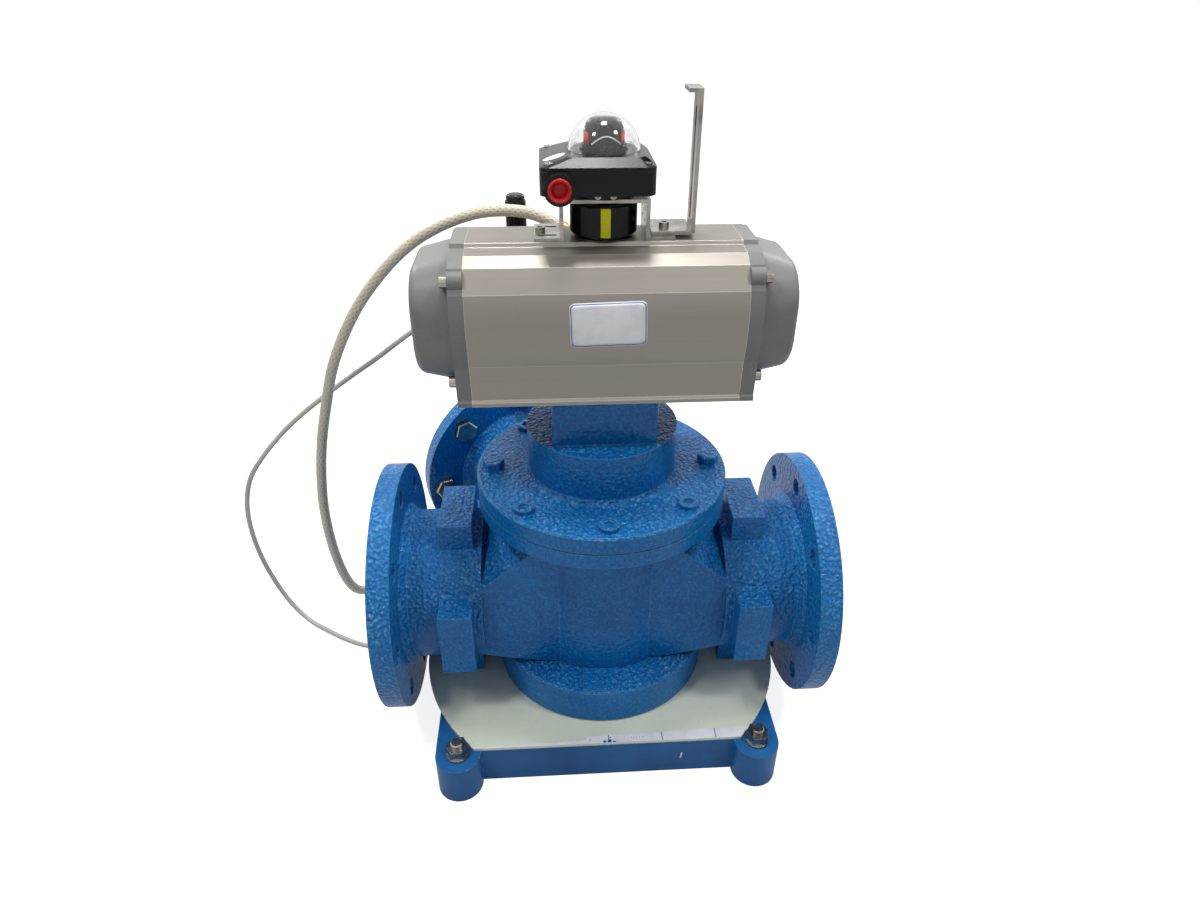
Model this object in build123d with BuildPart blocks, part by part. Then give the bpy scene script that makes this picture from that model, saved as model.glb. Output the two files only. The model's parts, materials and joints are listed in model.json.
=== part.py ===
from build123d import *
import math
import os

os.makedirs("parts", exist_ok=True)

# Base and deck
base_length = 338
base_depth = 274
base_height = 43
base_wall = 12
base_deck = 13
base_rib = 14
ear_inset = 22
ear_overhang = 2
ear_radius = 22
plate_radius = 190
plate_thickness = 3
plate_margin = 0.2
stud_diameter = 12
stud_above_nut = 5
nut_flats = 19
nut_height = 10
washer_thickness = 2.5
base_screw_circle = 186
base_screw_lean = 15

# Bottom cover
cover_radius = 110.5
cover_height = 40
cover_spigot = 2
cover_rib_width = 36
cover_rib_height = 2.5
cover_rib_shift = -5
bottom_screw_circle = 144
bottom_screw_count = 6
bottom_screw_diameter = 8

# Ports and flow path
bore_diameter = 125
neck_diameter = 152
flange_diameter = 250
flange_thickness = 21
bolt_circle = 210
bolt_hole = 18
right_hole_extra = 0.5
bolt_count = 8
port_face = 218
branch_face = 253
branch_angle = 21
branch_bolt_diameter = 16
branch_shank_diameter = 17
branch_bolt_flats = 24
branch_bolt_head = 10
branch_bolt_stand = 18
port_width = 64
port_rise = 84

# Valve body
barrel_diameter = 158
chamber_diameter = 130
flat_half = 65
chest_half = 125
chest_drop = 56
chest_corner_drop = 43
chest_knee_drop = 49
chest_knee_inset = 25
chest_foot_half = 60
shoulder_radius = 140
shoulder_rise = 38
collar_radius = 84
collar_rise = 94
body_rise = 123.5
body_flange_radius = 120
body_flange_thickness = 15
pad_start = 127
pad_end = 159
pad_width = 70
pad_reach = 96
pad_root = 56
flange_blend = 7
bottom_screw_bite = 18

# Plug, sleeve and stem
plug_diameter = 124
plug_half = 54
plug_end_gap = 2
sleeve_gap = 0.05
trunnion_diameter = 40
trunnion_length = 22
bush_wall = 4
thrust_washer_thickness = 1.7
stem_diameter = 40
stem_neck_diameter = 32
stem_square = 22
foot_square = 34
foot_depth = 9
shaft_gap = 0.05
slip_gap = 0.1

# Bonnet, packing and gland
gasket_thickness = 1
bonnet_flange_thickness = 16.5
bonnet_neck_height = 49
bonnet_head_height = 50
bonnet_neck_radius = 70.5
bonnet_flat = 93.4
bonnet_head_half = 47
bonnet_head_corner = 4
bonnet_screw_circle = 208
bonnet_screw_count = 8
bonnet_screw_diameter = 12
bonnet_hex_flats = 18
bonnet_hex_height = 8
spigot_wall = 12.8
spigot_web = 12
packing_bore = 64
packing_ring_height = 8
packing_ring_count = 3
packing_floor_rise = 5
gland_ring_height = 8
gland_nut_height = 18

# Actuator
actuator_length = 225
actuator_height = 126
piston_bore = 115
cap_plate = 12
dome_length = 33
dome_half_width = 53
dome_half_height = 45.5
dome_corner = 32
dome_root_half_width = 62
dome_root_half_height = 56
dome_root_corner = 50
dome_edge = 8
cap_screw_y = 54
cap_screw_low = 20
cap_screw_high = 106
cap_screw_diameter = 6
mount_stud_half = 36
mount_stud_diameter = 10
mount_stud_depth = 15
mount_stud_length = 27

cap_ear_radius = 8
cap_spigot = 3
cap_wall = 5
stop_spread = 22
stop_level = 30
stop_diameter = 8
stop_face = 64.1
solenoid_pad_y = 70

# Rack and pinion
gear_module = 3
pinion_teeth = 16
tooth_addendum = 0.8
tooth_root = 1.12
tooth_backlash = 0.35
pressure_angle = 20
gear_face = 32
rack_back = 44
rack_face = 28
rack_reach = 48
piston_rest = 50
piston_thickness = 20
piston_gap = 0.3
seal_width = 5
seal_depth = 4
journal_low_radius = 23.5
journal_top_radius = 18
journal_bush = 2.5
circlip_thickness = 2
drive_square = 16
drive_depth = 8

# Top gear: bracket, coupling and side bracket
bracket_thickness = 3
bracket_leg_half = 36
bracket_foot_half = 57
bracket_depth_half = 21
bracket_height = 33
foot_slot_length = 16
foot_slot_width = 3.5
foot_slot_y = 12
coupling_radius = 27.5
coupling_height = 25
coupling_rise = 3.5
side_foot_start = 38
side_upright_x = 71
side_foot_front = 16
side_foot_back = 20
side_upright_half = 12
side_upright_height = 109
side_slot_width = 6
side_slot_length = 88
side_tab_reach = 8
foot_slot_x = 46
bracket_screw_x = 52
side_screw_x = 50
side_screw_y = 0
top_screw_diameter = 5
top_screw_head = 3.5
top_screw_bite = 4.5
stripe_width = 8
stripe_depth = 1.2

# Switch box
box_left = 51
box_right = 38
box_half_depth = 40
box_wall = 3
box_height = 18
hub_height = 7
hub_radius = 24
lid_height = 9
dome_radius = 28.5
dome_wall = 2
indicator_radius = 15
indicator_skirt = 17.5
plug_boss_radius = 12
red_plug_radius = 9
shaft_radius = 5
dome_height = 27
post_inset = 7.5
post_radius = 4.5
lid_screw_diameter = 4
lid_screw_head = 2.5
lid_screw_bite = 8
lid_rim = 3
platform_half_x = 30
platform_half_y = 32
boss_x = 36
boss_rise = 6.5
boss_length = 7
switch_gap = 13
hub_screw_x = 6
hub_screw_y = 23.2
hub_screw_head = 2.6
hub_screw_diameter = 3
hub_screw_length = 6

# Solenoid valve behind the actuator
solenoid_left = 88
solenoid_right = 12
solenoid_depth = 36
solenoid_height = 38
solenoid_rise = 56
solenoid_screw_bite = 9
solenoid_screw_spread = 22
coil_length = 28
coil_width = 30
coil_height = 36
coil_drop = 10
connector_length = 14
connector_height = 38
connector_drop = 24
silencer_radius = 9.6
silencer_height = 41
silencer_x = 75
silencer_y = 97
button_radius = 4
button_x = 6
button_y = 94
button_proud = 3
button_travel = 2
button_depth = 9
connector_y = 88
gland_length = 15

# Hose and cable
hose_diameter = 11
cable_diameter = 5.5

# Levels worked out from the sizes above
deck_top = base_height + plate_thickness
barrel_foot = deck_top + cover_height
plug_bottom = barrel_foot + cover_spigot + plug_end_gap
port_height = plug_bottom + plug_half
plug_top = port_height + plug_half
body_top = port_height + body_rise
bonnet_seat = body_top + gasket_thickness
bonnet_flange_top = bonnet_seat + bonnet_flange_thickness
bonnet_neck_top = bonnet_flange_top + bonnet_neck_height
actuator_foot = bonnet_neck_top + bonnet_head_height
actuator_mid = actuator_foot + actuator_height / 2
actuator_top = actuator_foot + actuator_height
spigot_bottom = plug_top + plug_end_gap
packing_floor = bonnet_flange_top + packing_floor_rise
gland_ring_bottom = packing_floor + packing_ring_count * packing_ring_height
gland_nut_bottom = gland_ring_bottom + gland_ring_height
flange_radius = flange_diameter / 2
neck_radius = neck_diameter / 2
bore_radius = bore_diameter / 2
chamber_radius = chamber_diameter / 2
barrel_radius = barrel_diameter / 2
plug_radius = plug_diameter / 2
spigot_radius = chamber_radius - 0.2
cap_length_half = actuator_length / 2
pitch_radius = gear_module * pinion_teeth / 2
piston_radius = piston_bore / 2 - piston_gap

# Port planes, each looking out of its flange
branch_turn = math.radians(branch_angle)
branch_out = Vector(-math.sin(branch_turn), math.cos(branch_turn), 0)
branch_side = Vector(math.cos(branch_turn), math.sin(branch_turn), 0)
left_port = Plane(origin=(-port_face, 0, port_height), x_dir=(0, 1, 0), z_dir=(-1, 0, 0))
right_port = Plane(origin=(port_face, 0, port_height), x_dir=(0, 1, 0), z_dir=(1, 0, 0))
branch_origin = branch_out * branch_face + Vector(0, 0, port_height)
branch_port = Plane(origin=branch_origin, x_dir=branch_side, z_dir=branch_out)
ports = [(left_port, port_face), (right_port, port_face), (branch_port, branch_face)]

solenoid_mid = (solenoid_right - solenoid_left) / 2
solenoid_foot = actuator_foot + solenoid_rise
solenoid_top = solenoid_foot + solenoid_height
solenoid_screw_spots = [
    (solenoid_mid + side * solenoid_screw_spread, solenoid_foot + solenoid_height / 2) for side in (-1, 1)
]

ear_x = base_length / 2 - ear_inset
ear_y = base_depth / 2 + ear_overhang
ear_points = [(sx * ear_x, sy * ear_y) for sx in (-1, 1) for sy in (-1, 1)]
rib_turns = (0, 90, 180, 270)
base_screw_radius = base_screw_circle / 2
base_screw_turns = [math.radians(rib + side * base_screw_lean) for rib in rib_turns for side in (-1, 1)]
base_screw_spots = [
    (base_screw_radius * math.cos(turn), base_screw_radius * math.sin(turn)) for turn in base_screw_turns
]


def ring(outer, inner, height, level):
    """A plain ring standing on a level."""
    with BuildPart() as piece:
        with BuildSketch(Plane.XY.offset(level)):
            Circle(outer)
            Circle(inner, mode=Mode.SUBTRACT)
        extrude(amount=height)
    return piece.part


def hex_screw(flats, head, shank, length):
    """A hex head on the XY plane with its shank pointing down."""
    with BuildPart() as piece:
        with BuildSketch():
            RegularPolygon(flats / 2, 6, major_radius=False)
        extrude(amount=head)
        chamfer(piece.faces().sort_by(Axis.Z)[-1].edges(), head * 0.12)
        with BuildSketch():
            Circle(shank / 2)
        extrude(amount=-length)
    return piece.part


def socket_screw(head_radius, head, shank, length):
    """A cylinder head with a hex socket, on the XY plane, its shank pointing down."""
    with BuildPart() as piece:
        with BuildSketch():
            Circle(head_radius)
        extrude(amount=head)
        with BuildSketch(Plane.XY.offset(head)):
            RegularPolygon(head_radius * 0.5, 6, major_radius=False)
        extrude(amount=-head * 0.55, mode=Mode.SUBTRACT)
        with BuildSketch():
            Circle(shank / 2)
        extrude(amount=-length)
    return piece.part


def hex_nut(flats, height, hole):
    """A hex nut standing on the XY plane."""
    with BuildPart() as piece:
        with BuildSketch():
            RegularPolygon(flats / 2, 6, major_radius=False)
            Circle(hole / 2, mode=Mode.SUBTRACT)
        extrude(amount=height)
    return piece.part


def save(piece, name):
    """Label one finished sub-part and write it."""
    piece.part.label = name
    export_step(piece.part, "parts/" + name + ".step")


# Cast base: a ribbed box with an ear at each corner
screw_shank = bottom_screw_diameter + 4
with BuildPart() as base_casting:
    with BuildSketch():
        Rectangle(base_length, base_depth)
        with Locations(*ear_points):
            Circle(ear_radius)
    extrude(amount=base_height)
    pocket_x = (base_length - base_rib) / 2 - base_wall
    pocket_y = (base_depth - base_rib) / 2 - base_wall
    with BuildSketch():
        with GridLocations(pocket_x + base_rib, pocket_y + base_rib, 2, 2):
            RectangleRounded(pocket_x, pocket_y, 16)
        with Locations(*ear_points):
            Circle(ear_radius, mode=Mode.SUBTRACT)
    extrude(amount=base_height - base_deck, mode=Mode.SUBTRACT)
    with Locations(*[(x, y, base_height) for x, y in ear_points]):
        Hole(stud_diameter / 2 + 0.3)
    with Locations(*[(x, y, base_height) for x, y in base_screw_spots]):
        Hole(screw_shank / 2 + 0.4)
save(base_casting, "base_casting")

# Thin deck plate, a disc trimmed flat at front and back
with BuildPart() as base_plate:
    with BuildSketch(Plane.XY.offset(base_height)):
        Circle(plate_radius)
        Rectangle(2 * plate_radius, base_depth - 2 * plate_margin, mode=Mode.INTERSECT)
        with Locations(*ear_points):
            Circle(stud_diameter / 2 + 7, mode=Mode.SUBTRACT)
        with Locations(*base_screw_spots):
            Circle(screw_shank / 2 + 0.4, mode=Mode.SUBTRACT)
    extrude(amount=plate_thickness)
save(base_plate, "base_plate")

# Foundation studs, washers and nuts on the ears
stud_height = base_height + washer_thickness + nut_height + stud_above_nut
with BuildPart() as base_studs:
    with BuildSketch():
        with Locations(*ear_points):
            Circle(stud_diameter / 2)
    extrude(amount=stud_height)
    chamfer(base_studs.faces().group_by(Axis.Z)[-1].edges(), 1)
save(base_studs, "base_studs")

ear_nut = hex_nut(nut_flats, nut_height, stud_diameter)
with BuildPart() as base_nuts:
    with Locations(*[(x, y, base_height + washer_thickness) for x, y in ear_points]):
        add(ear_nut)
    with BuildSketch(Plane.XY.offset(base_height)):
        with Locations(*ear_points):
            Circle(nut_flats * 0.6)
            Circle(stud_diameter / 2 + 0.3, mode=Mode.SUBTRACT)
    extrude(amount=washer_thickness)
save(base_nuts, "base_nuts")

# Screws from below that hold base, deck and cover together
base_screw_reach = base_deck + plate_thickness + cover_height * 0.45
base_screw = socket_screw(screw_shank * 0.75, screw_shank, screw_shank, base_screw_reach)
with BuildPart() as base_screws:
    with Locations(*[Location((x, y, base_height - base_deck), (180, 0, 0)) for x, y in base_screw_spots]):
        add(base_screw)
save(base_screws, "base_screws")

# Bottom cover with bearing pocket, spigot and front rib
bush_radius = trunnion_diameter / 2 + shaft_gap + bush_wall
pocket_depth = plug_bottom - trunnion_length - 2
with BuildPart() as bottom_cover:
    with BuildSketch(Plane.XY.offset(deck_top)):
        Circle(cover_radius)
    extrude(amount=cover_height)
    chamfer(bottom_cover.edges().filter_by(GeomType.CIRCLE), 1.5)
    with BuildSketch(Plane.XY.offset(barrel_foot)):
        with Locations((cover_rib_shift, -cover_radius / 2)):
            Rectangle(cover_rib_width, cover_radius)
        Circle(cover_radius - 2, mode=Mode.INTERSECT)
        Circle(barrel_radius + 0.5, mode=Mode.SUBTRACT)
    extrude(amount=cover_rib_height)
    with BuildSketch(Plane.XY.offset(barrel_foot)):
        Circle(spigot_radius)
    extrude(amount=cover_spigot)
    with BuildSketch(Plane.XY.offset(pocket_depth)):
        Circle(bush_radius)
    extrude(amount=plug_bottom - pocket_depth, mode=Mode.SUBTRACT)
    with BuildSketch(Plane.XY.offset(deck_top)):
        with PolarLocations(bottom_screw_circle / 2, bottom_screw_count):
            Circle(bottom_screw_diameter / 2 + 0.3)
    extrude(amount=cover_height, mode=Mode.SUBTRACT)
    with BuildSketch(Plane.XY.offset(deck_top)):
        with PolarLocations(bottom_screw_circle / 2, bottom_screw_count):
            Circle(bottom_screw_diameter * 0.8 + 0.4)
    extrude(amount=bottom_screw_diameter + 2, mode=Mode.SUBTRACT)
    with BuildSketch(Plane.XY.offset(deck_top)):
        with Locations(*base_screw_spots):
            Circle(screw_shank / 2)
    extrude(amount=cover_height * 0.45 + 1, mode=Mode.SUBTRACT)
save(bottom_cover, "bottom_cover")

bottom_screw = socket_screw(
    bottom_screw_diameter * 0.8,
    bottom_screw_diameter,
    bottom_screw_diameter,
    cover_height - bottom_screw_diameter - 2 + bottom_screw_bite,
)
with BuildPart() as bottom_screws:
    with Locations(Location((0, 0, deck_top + bottom_screw_diameter + 2), (180, 0, 0))):
        with PolarLocations(bottom_screw_circle / 2, bottom_screw_count):
            add(bottom_screw)
save(bottom_screws, "bottom_screws")

# Bush and washer that carry the plug
lower_bush_bore = trunnion_diameter / 2 + shaft_gap
washer_bore = trunnion_diameter / 2 + 0.3
with BuildPart() as plug_bushes:
    add(ring(bush_radius, lower_bush_bore, trunnion_length, plug_bottom - 2 - trunnion_length))
    add(ring(bush_radius, stem_diameter / 2 + shaft_gap, spigot_web, spigot_bottom))
save(plug_bushes, "plug_bushes")

with BuildPart() as thrust_washer:
    add(ring(trunnion_diameter, washer_bore, thrust_washer_thickness, plug_bottom - plug_end_gap))
save(thrust_washer, "thrust_washer")

# Valve body casting
pad_places = [(sx, turn) for sx in (-1, 1) for turn in rib_turns]
right_bolt_hole = bolt_hole + right_hole_extra
with BuildPart() as valve_body:
    # chest seen from the front, cut by the shoulder cone
    with BuildSketch(Plane.XZ.offset(-flat_half)):
        with BuildLine():
            Polyline(
                (-chest_half, port_height - chest_corner_drop),
                (-chest_half + chest_knee_inset, port_height - chest_knee_drop),
                (-chest_foot_half, port_height - chest_drop),
                (chest_foot_half, port_height - chest_drop),
                (chest_half - chest_knee_inset, port_height - chest_knee_drop),
                (chest_half, port_height - chest_corner_drop),
                (chest_half, port_height + shoulder_rise),
                (chest_half, port_height + body_rise - body_flange_thickness),
                (-chest_half, port_height + body_rise - body_flange_thickness),
                close=True,
            )
        make_face()
    extrude(amount=2 * flat_half)
    with BuildSketch(Plane.XZ):
        with BuildLine():
            Polyline(
                (0, port_height - chest_drop - 10),
                (shoulder_radius, port_height - chest_drop - 10),
                (shoulder_radius, port_height + shoulder_rise),
                (collar_radius, port_height + collar_rise),
                (collar_radius, body_top),
                (0, body_top),
                close=True,
            )
        make_face()
    revolve(axis=Axis.Z, mode=Mode.INTERSECT)
    # necks beyond the chest
    for side in (left_port, right_port):
        with BuildSketch(side):
            Circle(neck_radius)
        extrude(amount=-(port_face - chest_half + 6))
    with BuildSketch(branch_port):
        Circle(neck_radius)
    extrude(amount=-branch_face + 10)
    with BuildSketch(Plane.XY.offset(barrel_foot)):
        Circle(barrel_radius)
    extrude(amount=body_top - barrel_foot)
    for sx, turn in pad_places:
        pad_plane = Plane.YZ.offset(sx * (pad_start + pad_end) / 2)
        with BuildSketch(pad_plane):
            with Locations(Location((0, port_height), turn)):
                with Locations((0, (pad_reach + pad_root) / 2)):
                    Rectangle(pad_width, pad_reach - pad_root)
        extrude(amount=(pad_end - pad_start) / 2, both=True)
    for port, reach in ports:
        with BuildSketch(port):
            Circle(flange_radius)
        extrude(amount=-flange_thickness)
        # cast blend from the flange down to the neck
        with BuildSketch(port.offset(-flange_thickness)):
            Circle(neck_radius + flange_blend)
        with BuildSketch(port.offset(-flange_thickness - flange_blend)):
            Circle(neck_radius)
        loft()
    with BuildSketch(Plane.XY.offset(body_top)):
        Circle(body_flange_radius)
    extrude(amount=-body_flange_thickness)
    # the branch neck is cut clear of the bottom cover
    with BuildSketch(Plane.XY.offset(deck_top)):
        Circle(cover_radius + 1.5)
    extrude(amount=cover_height, mode=Mode.SUBTRACT)
    # chamber and flow passages
    with BuildSketch(Plane.XY.offset(barrel_foot)):
        Circle(chamber_radius)
    extrude(amount=body_top - barrel_foot, mode=Mode.SUBTRACT)
    for port, reach in ports:
        with BuildSketch(port):
            Circle(bore_radius)
        with BuildSketch(port.offset(-(reach - chamber_radius + 8))):
            Ellipse(port_width / 2, port_rise / 2)
        loft(mode=Mode.SUBTRACT)
    # the right holes have more play, to bolt up between two fixed pipes
    for port, width in zip((left_port, right_port, branch_port), (bolt_hole, right_bolt_hole, bolt_hole)):
        with BuildSketch(port):
            with PolarLocations(bolt_circle / 2, bolt_count):
                Circle(width / 2)
        extrude(amount=-flange_thickness, mode=Mode.SUBTRACT)
    with BuildSketch(Plane.XY.offset(barrel_foot)):
        with PolarLocations(bottom_screw_circle / 2, bottom_screw_count):
            Circle(bottom_screw_diameter / 2)
    extrude(amount=bottom_screw_bite + 1, mode=Mode.SUBTRACT)
    with BuildSketch(Plane.XY.offset(body_top)):
        with PolarLocations(bonnet_screw_circle / 2, bonnet_screw_count):
            Circle(bonnet_screw_diameter / 2)
    extrude(amount=-body_flange_thickness, mode=Mode.SUBTRACT)
save(valve_body, "valve_body")

# Sleeve round the plug, open at the three ports
sleeve_top = spigot_bottom
with BuildPart() as seat_sleeve:
    with BuildSketch(Plane.XY.offset(barrel_foot + cover_spigot)):
        Circle(chamber_radius)
        Circle(plug_radius + sleeve_gap, mode=Mode.SUBTRACT)
    extrude(amount=sleeve_top - barrel_foot - cover_spigot)
    for port, reach in ports:
        with BuildSketch(port.offset(-reach + 40)):
            Ellipse(port_width / 2, port_rise / 2)
        extrude(amount=40, mode=Mode.SUBTRACT)
save(seat_sleeve, "seat_sleeve")

# Plug with a T port; one mouth is widened to reach the skewed branch
with BuildPart() as plug:
    with BuildSketch(Plane.XY.offset(plug_bottom)):
        Circle(plug_radius)
    extrude(amount=2 * plug_half)
    chamfer(plug.edges().filter_by(GeomType.CIRCLE), 1)
    with BuildSketch(Plane.XY.offset(plug_bottom)):
        Circle(trunnion_diameter / 2)
    extrude(amount=-trunnion_length)
    for turn in (180, 0, branch_angle / 2, branch_angle, -90):
        aim = math.radians(turn)
        mouth = Plane(
            origin=(0, 0, port_height),
            x_dir=(-math.sin(aim), math.cos(aim), 0),
            z_dir=(math.cos(aim), math.sin(aim), 0),
        )
        with BuildSketch(mouth):
            Ellipse(port_width / 2, port_rise / 2)
        extrude(amount=plug_radius + 5, mode=Mode.SUBTRACT)
    with BuildSketch(Plane.XY.offset(plug_top)):
        Rectangle(foot_square + 2 * slip_gap, foot_square + 2 * slip_gap)
    extrude(amount=-foot_depth - slip_gap, mode=Mode.SUBTRACT)
save(plug, "plug")

# Stem: square foot, packing journal, neck and square head
stem_shoulder = gland_nut_bottom + gland_nut_height + 2
pinion_low = actuator_foot - 4
pinion_socket = 28
with BuildPart() as stem:
    with BuildSketch(Plane.XY.offset(plug_top - foot_depth)):
        Rectangle(foot_square, foot_square)
    extrude(amount=foot_depth)
    with BuildSketch(Plane.XY.offset(plug_top)):
        Circle(stem_diameter / 2)
    extrude(amount=stem_shoulder - plug_top)
    with BuildSketch(Plane.XY.offset(stem_shoulder)):
        Circle(stem_neck_diameter / 2)
    extrude(amount=pinion_low - stem_shoulder - 2)
    with BuildSketch(Plane.XY.offset(pinion_low - 2)):
        Rectangle(stem_square, stem_square)
    extrude(amount=pinion_socket + 1)
    chamfer(stem.faces().sort_by(Axis.Z)[-1].edges(), 1)
save(stem, "stem")

# Bonnet casting: spigot, disc, round neck and square head
stem_hole = stem_diameter / 2 + 0.3
with BuildPart() as bonnet:
    with BuildSketch(Plane.XY.offset(spigot_bottom)):
        Circle(spigot_radius)
    extrude(amount=bonnet_seat - spigot_bottom)
    with BuildSketch(Plane.XY.offset(bonnet_seat)):
        Circle(body_flange_radius)
    extrude(amount=bonnet_flange_thickness)
    chamfer(bonnet.faces().sort_by(Axis.Z)[-1].edges(), 1.5)
    with BuildSketch(Plane.XY.offset(bonnet_flange_top)):
        Circle(bonnet_neck_radius)
    extrude(amount=bonnet_neck_height)
    fillet(bonnet.edges().filter_by(GeomType.CIRCLE).filter_by(
        lambda e: abs(e.radius - bonnet_neck_radius) < 0.1 and e.center().Z < bonnet_flange_top + 1), 6)
    with BuildSketch(Plane.XY.offset(bonnet_neck_top)):
        RectangleRounded(2 * bonnet_head_half, bonnet_flat, bonnet_head_corner)
    extrude(amount=bonnet_head_height)
    with BuildSketch(Plane.XY.offset(spigot_bottom + spigot_web)):
        Circle(spigot_radius - spigot_wall)
    extrude(amount=bonnet_seat - spigot_bottom - spigot_web + 4, mode=Mode.SUBTRACT)
    with BuildSketch(Plane.XY.offset(spigot_bottom)):
        Circle(bush_radius)
    extrude(amount=spigot_web, mode=Mode.SUBTRACT)
    with BuildSketch(Plane.XY.offset(spigot_bottom + spigot_web)):
        Circle(stem_hole)
    extrude(amount=packing_floor - spigot_bottom - spigot_web, mode=Mode.SUBTRACT)
    with BuildSketch(Plane.XY.offset(packing_floor)):
        Circle(packing_bore / 2)
    extrude(amount=actuator_foot - packing_floor, mode=Mode.SUBTRACT)
    with BuildSketch(Plane.XY.offset(bonnet_flange_top)):
        with PolarLocations(bonnet_screw_circle / 2, bonnet_screw_count):
            Circle(bonnet_screw_diameter / 2 + 0.4)
    extrude(amount=-bonnet_flange_thickness, mode=Mode.SUBTRACT)
    with BuildSketch(Plane.XY.offset(actuator_foot)):
        with GridLocations(2 * mount_stud_half, 2 * mount_stud_half, 2, 2):
            Circle(mount_stud_diameter / 2)
    extrude(amount=-mount_stud_depth - 1, mode=Mode.SUBTRACT)
save(bonnet, "bonnet")

with BuildPart() as bonnet_gasket:
    with BuildSketch(Plane.XY.offset(body_top)):
        Circle(body_flange_radius - 2)
        Circle(spigot_radius + 0.5, mode=Mode.SUBTRACT)
        with PolarLocations(bonnet_screw_circle / 2, bonnet_screw_count):
            Circle(bonnet_screw_diameter / 2 + 0.5, mode=Mode.SUBTRACT)
    extrude(amount=gasket_thickness)
save(bonnet_gasket, "bonnet_gasket")

bonnet_shank = bonnet_flange_thickness + gasket_thickness + body_flange_thickness - 1
hex_head_screw = hex_screw(bonnet_hex_flats, bonnet_hex_height, bonnet_screw_diameter, bonnet_shank)
low_head_screw = socket_screw(bonnet_screw_diameter * 0.75, 4, bonnet_screw_diameter, bonnet_shank)
with BuildPart() as bonnet_screws:
    for index in range(bonnet_screw_count):
        with Locations((0, 0, bonnet_flange_top)):
            with PolarLocations(bonnet_screw_circle / 2, 1, start_angle=index * 360 / bonnet_screw_count):
                add(hex_head_screw if index in (0, bonnet_screw_count // 2) else low_head_screw)
save(bonnet_screws, "bonnet_screws")

# Packing round the stem
with BuildPart() as gland_packing:
    for index in range(packing_ring_count):
        with BuildSketch(Plane.XY.offset(packing_floor + index * packing_ring_height)):
            Circle(packing_bore / 2)
            Circle(stem_diameter / 2 + shaft_gap, mode=Mode.SUBTRACT)
        extrude(amount=packing_ring_height - 0.1)
save(gland_packing, "gland_packing")

with BuildPart() as gland_ring:
    add(ring(packing_bore / 2, stem_diameter / 2 + slip_gap, gland_ring_height, gland_ring_bottom))
save(gland_ring, "gland_ring")

with BuildPart() as gland_nut:
    with BuildSketch(Plane.XY.offset(gland_nut_bottom)):
        Circle(packing_bore / 2)
        Circle(stem_diameter / 2 + 0.5, mode=Mode.SUBTRACT)
    extrude(amount=gland_nut_height)
    with BuildSketch(Plane.XY.offset(gland_nut_bottom + gland_nut_height)):
        with PolarLocations(packing_bore / 2 - 3, 4):
            Rectangle(7, 6)
    extrude(amount=-6, mode=Mode.SUBTRACT)
save(gland_nut, "gland_nut")

# Bolts through the branch flange, heads on the valve side
with BuildPart() as branch_bolt:
    add(hex_screw(branch_bolt_flats, branch_bolt_head, branch_shank_diameter, flange_thickness))
    with BuildSketch(Plane.XY.offset(-flange_thickness)):
        Circle(branch_bolt_diameter / 2)
    extrude(amount=-branch_bolt_stand)
back_of_flange = Plane(
    origin=branch_origin - branch_out * flange_thickness,
    x_dir=branch_side,
    z_dir=branch_out * -1,
)
with BuildPart() as branch_bolts:
    with Locations(back_of_flange):
        with PolarLocations(bolt_circle / 2, bolt_count):
            add(branch_bolt.part)
save(branch_bolts, "branch_bolts")


def actuator_outline(plane):
    """Outline of the extruded actuator body, foot at the bottom, on a plane facing along X."""
    with BuildSketch(plane) as outline:
        with BuildLine():
            Line((0, actuator_foot), (63, actuator_foot))
            Line((63, actuator_foot), (63, actuator_foot + 3.5))
            Line((63, actuator_foot + 3.5), (61.4, actuator_foot + 5.5))
            Line((61.4, actuator_foot + 5.5), (64, actuator_foot + 37))
            ThreePointArc((64, actuator_foot + 37), (68.5, actuator_foot + 67), (64, actuator_foot + 98))
            Line((64, actuator_foot + 98), (52, actuator_top - 10.5))
            Line((52, actuator_top - 10.5), (40, actuator_top - 4.5))
            Line((40, actuator_top - 4.5), (24, actuator_top - 3))
            Line((24, actuator_top - 3), (22, actuator_top))
            Line((22, actuator_top), (0, actuator_top))
            mirror(about=Plane.YZ)
        make_face()
    return outline.sketch


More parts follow.
